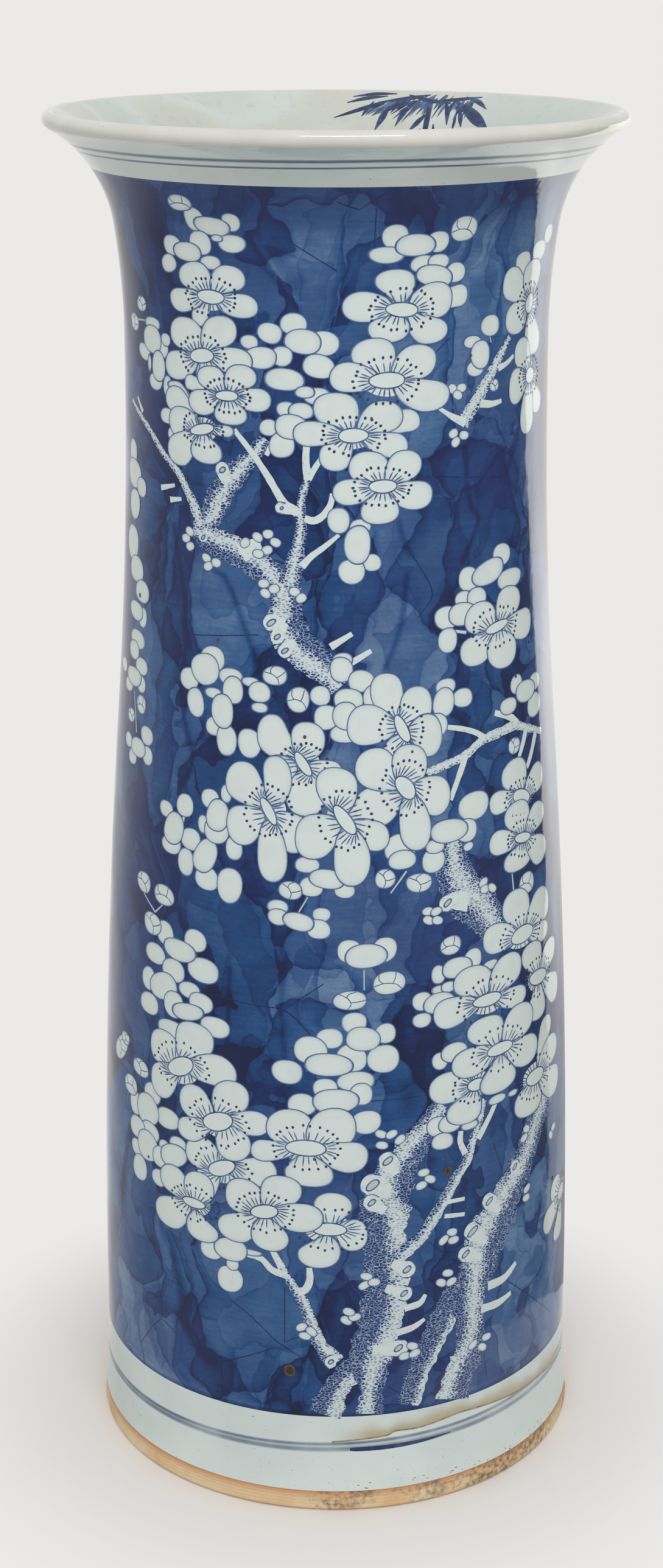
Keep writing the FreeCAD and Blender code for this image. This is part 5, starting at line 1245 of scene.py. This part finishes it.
# Spray of leaves inside the mouth: quick pointed strokes of strong cobalt that fan out from one
# stem, on the far side of the flare. Only its upper part shows, and the rest is a guess.
LEAVES = (((157.1, 599.4, 1.6), (156.6, 593, 2.4), (156.1, 586, 2.4), (155.8, 576, 2.2), (156, 560, 1.8)),
    ((166, 599.8, 0.3), (171, 597.2, 1.6), (176, 594.4, 1.4), (180.6, 592, 0.2)), ((151, 599.4, 0.4),
    (147, 596.4, 3.2), (142.5, 592.5, 4.2), (137.6, 588.6, 0.4)), ((166.9, 597, 0.4), (168.2, 592.6, 3),
    (169.8, 587, 0.4)), ((157.1, 594, 0.5), (158.8, 590.6, 2.4), (160.7, 586.6, 0.4)), ((149.2, 594.6, 0.3),
    (148.8, 591, 1.4), (148.5, 587.6, 0.3)), ((149, 596.6, 0.4), (147.6, 593, 2.2), (146.4, 589.4, 0.4)),
    ((161.5, 598.6, 0.3), (163.2, 594, 2.4), (164.6, 588.6, 0.3)), ((160.5, 599.4, 0.3), (164, 597.4, 1.8),
    (168.5, 594.5, 0.3)), ((153.6, 599.4, 0.3), (151.8, 595, 2.2), (150.6, 589.8, 0.3)), ((168, 601, 0.3),
    (173, 600, 1.4), (177.4, 598.2, 0.2)), ((166, 602, 0.3), (171, 601.8, 1.2), (176, 600.7, 0.2)),
    ((149, 601.4, 0.3), (145, 599.6, 1.6), (141.7, 597, 0.2)), ((171, 598.8, 0.3), (172.4, 595.6, 1.4),
    (173.6, 592.6, 0.2)), ((163, 601.6, 0.3), (158, 599.6, 1.6), (152, 598.6, 0.3)), ((158, 601.8, 0.3),
    (163, 600.2, 1.6), (170, 598.4, 0.3)), ((145, 601.6, 0.3), (151, 600.2, 1.4), (158, 599, 0.3)),
    ((154.4, 590, 0.4), (152.8, 582, 3), (150.8, 573, 0.4)), ((157.6, 588, 0.4), (160.4, 580, 3),
    (163.2, 570, 0.4)), ((155.4, 578, 0.4), (152.4, 568, 3.2), (149.8, 558, 0.4)), ((156.6, 574, 0.4),
    (159.8, 564, 3), (161.8, 552, 0.4)))
# the fine leaves behind them: how many, turns and heights they start at, and widths
FINE_LEAVES, FINE_TURNS, FINE_TOPS, FINE_WIDTHS = 84, (146, 169), (598.2, 602), (0.7, 1.7)
# how much lower they start by turn, and by turn how far they run across, in degrees, and down, in mm
FINE_LOWER, FINE_ACROSS = ((157, 0), (169, 2.6)), ((146, -0.5), (153, 1.4), (160, 3.2), (169, 4.4))
FINE_DOWN = ((146, 5.5), (160, 6.5), (172, 3.5))


def leaf_paint(tree, place):
    """Strong cobalt, almost black where strokes cross, with grey blue where the brush ran dry."""
    strong = mottled(tree, place, 260.0, 3.0, (0.3, "111a38"), (0.55, "1f3161"), (0.75, "476698"))
    return blended(tree, read(tree, "tint"), strong, "6d8db2")


leaf_layer = Layer()
rng = np.random.default_rng(11)
start, top = rng.uniform(*FINE_TURNS, FINE_LEAVES), rng.uniform(*FINE_TOPS, FINE_LEAVES)
top -= np.interp(start, *zip(*FINE_LOWER))
across_by = np.interp(start, *zip(*FINE_ACROSS)) * rng.uniform(0.5, 1.3, FINE_LEAVES)
down_by = np.interp(start, *zip(*FINE_DOWN)) * rng.uniform(0.4, 1.25, FINE_LEAVES)
widths = rng.uniform(*FINE_WIDTHS, FINE_LEAVES)
for at, (turn, height, dx, dy, wide) in enumerate(zip(start, top, across_by, down_by, widths)):
    stroke(leaf_layer, [(turn, height, 0.3, 0), (turn + dx * 0.45, height - dy * 0.4, wide, 0),
                        (turn + dx, height - dy, 0.2, 0)],
           level=at * 0.1, inset=WALL_THROUGH, shade=0.9 * (at % 3) / 2)
for at, path in enumerate(LEAVES):
    stroke(leaf_layer, [(*place, 0) for place in path], level=6.4 + at * 0.3, inset=WALL_THROUGH, shade=0.12)
leaf_layer.finish("leaf_spray", "cobalt_line", glazed("cobalt leaf strokes under clear glaze", leaf_paint))

# Kiln marks: iron spots that burst through the glaze, the hair-thin firing crack at the foot with
# dirt in it, and the heavy stroke of cobalt where the painter began the lowest ring.
RUST = ((-10.8, 69.3, 1.3, 3), (26.8, 161, 1, 2), (-42.4, 460.5, 0.4, 0.8), (-40, 431, 0.4, 0.7),
    (-20.5, 423.3, 0.4, 0.7), (-31.5, 395.5, 0.4, 0.7), (-63.5, 405, 0.5, 0.9), (-7.8, 358.5, 0.4, 0.8),
    (66.5, 131, 0.5, 0.9), (8.8, 489.5, 0.35, 0.6), (18.9, 351, 0.35, 0.6), (-5, 172, 0.4, 0.7),
    (36.5, 512, 0.35, 0.6), (53, 373.5, 0.35, 0.6), (-51, 154, 0.35, 0.6))
HEAVY_STROKE = ((3.2, 30.6, 1.1), (4.6, 30.5, 2.0), (12, 30.5, 2.1), (19, 30.8, 1.8), (24, 31.2, 1.2),
                (28, 31.6, 0.4))
# specks of dirt: how many, turns, mm above the glaze's edge before the power that holds most of them low,
# length, width and lean
DIRT_SPECKS, DIRT_TURNS, DIRT_RISE, DIRT_LOW = 30, (4, 66), (0.5, 3.4), 1.1
DIRT_LONG, DIRT_SHORT, DIRT_LEAN = (0.5, 1.7), (0.3, 0.6), (-8, 8)
# a level over every patch
SPOT_LEVEL = 20


def rust_paint(tree, place):
    """Iron brown, nearly black in the middle of a spot."""
    burn = add_node(tree, "MapRange", {"Value": read(tree, "edge"), "From Max": 1.2})
    return add_node(tree, "ValToRGB", (burn,), stops=((0.0, "56505c"), (0.35, "57443a"), (1.0, "32281f")))


def grime_paint(tree, place):
    """Dirt in a crack: broken brown and grey."""
    return mottled(tree, place, 350.0, 3.0, (0.35, "7d705a"), (0.6, "a89878"))


rust_layer, crack_layer, heavy_layer, dirt_layer = Layer(), Layer(), Layer(), Layer()
rng = np.random.default_rng(5)
dirt_turn, dirt_rise, *dirt_shape = (rng.uniform(*span, DIRT_SPECKS) for span in
                                     (DIRT_TURNS, DIRT_RISE, DIRT_LONG, DIRT_SHORT, DIRT_LEAN))
dots(dirt_layer, dirt_turn, GLAZE_FOOT + dirt_rise ** DIRT_LOW, *dirt_shape, 0)
for turn, height, half_turn, half_height in RUST:
    oval(rust_layer, turn, height, half_turn, half_height, level=SPOT_LEVEL, sides=16)
stroke(crack_layer, [(t, h - 0.2, 0.7) for t, h in CRACK], level=0, across=LINE_ACROSS)
stroke(heavy_layer, HEAVY_STROKE, level=0)
rust_layer.finish("iron_spots", "biscuit", glazed("iron spots in the glaze", rust_paint))
crack_layer.finish("firing_crack", "biscuit", glazed("dirt in the firing crack", grime_paint))
dirt_layer.finish("dirt_by_the_glaze_edge", "biscuit", glazed("dirt pressed into the glaze", grime_paint))
heavy_layer.finish("heavy_ring_stroke", "cobalt_line", dot_glaze)
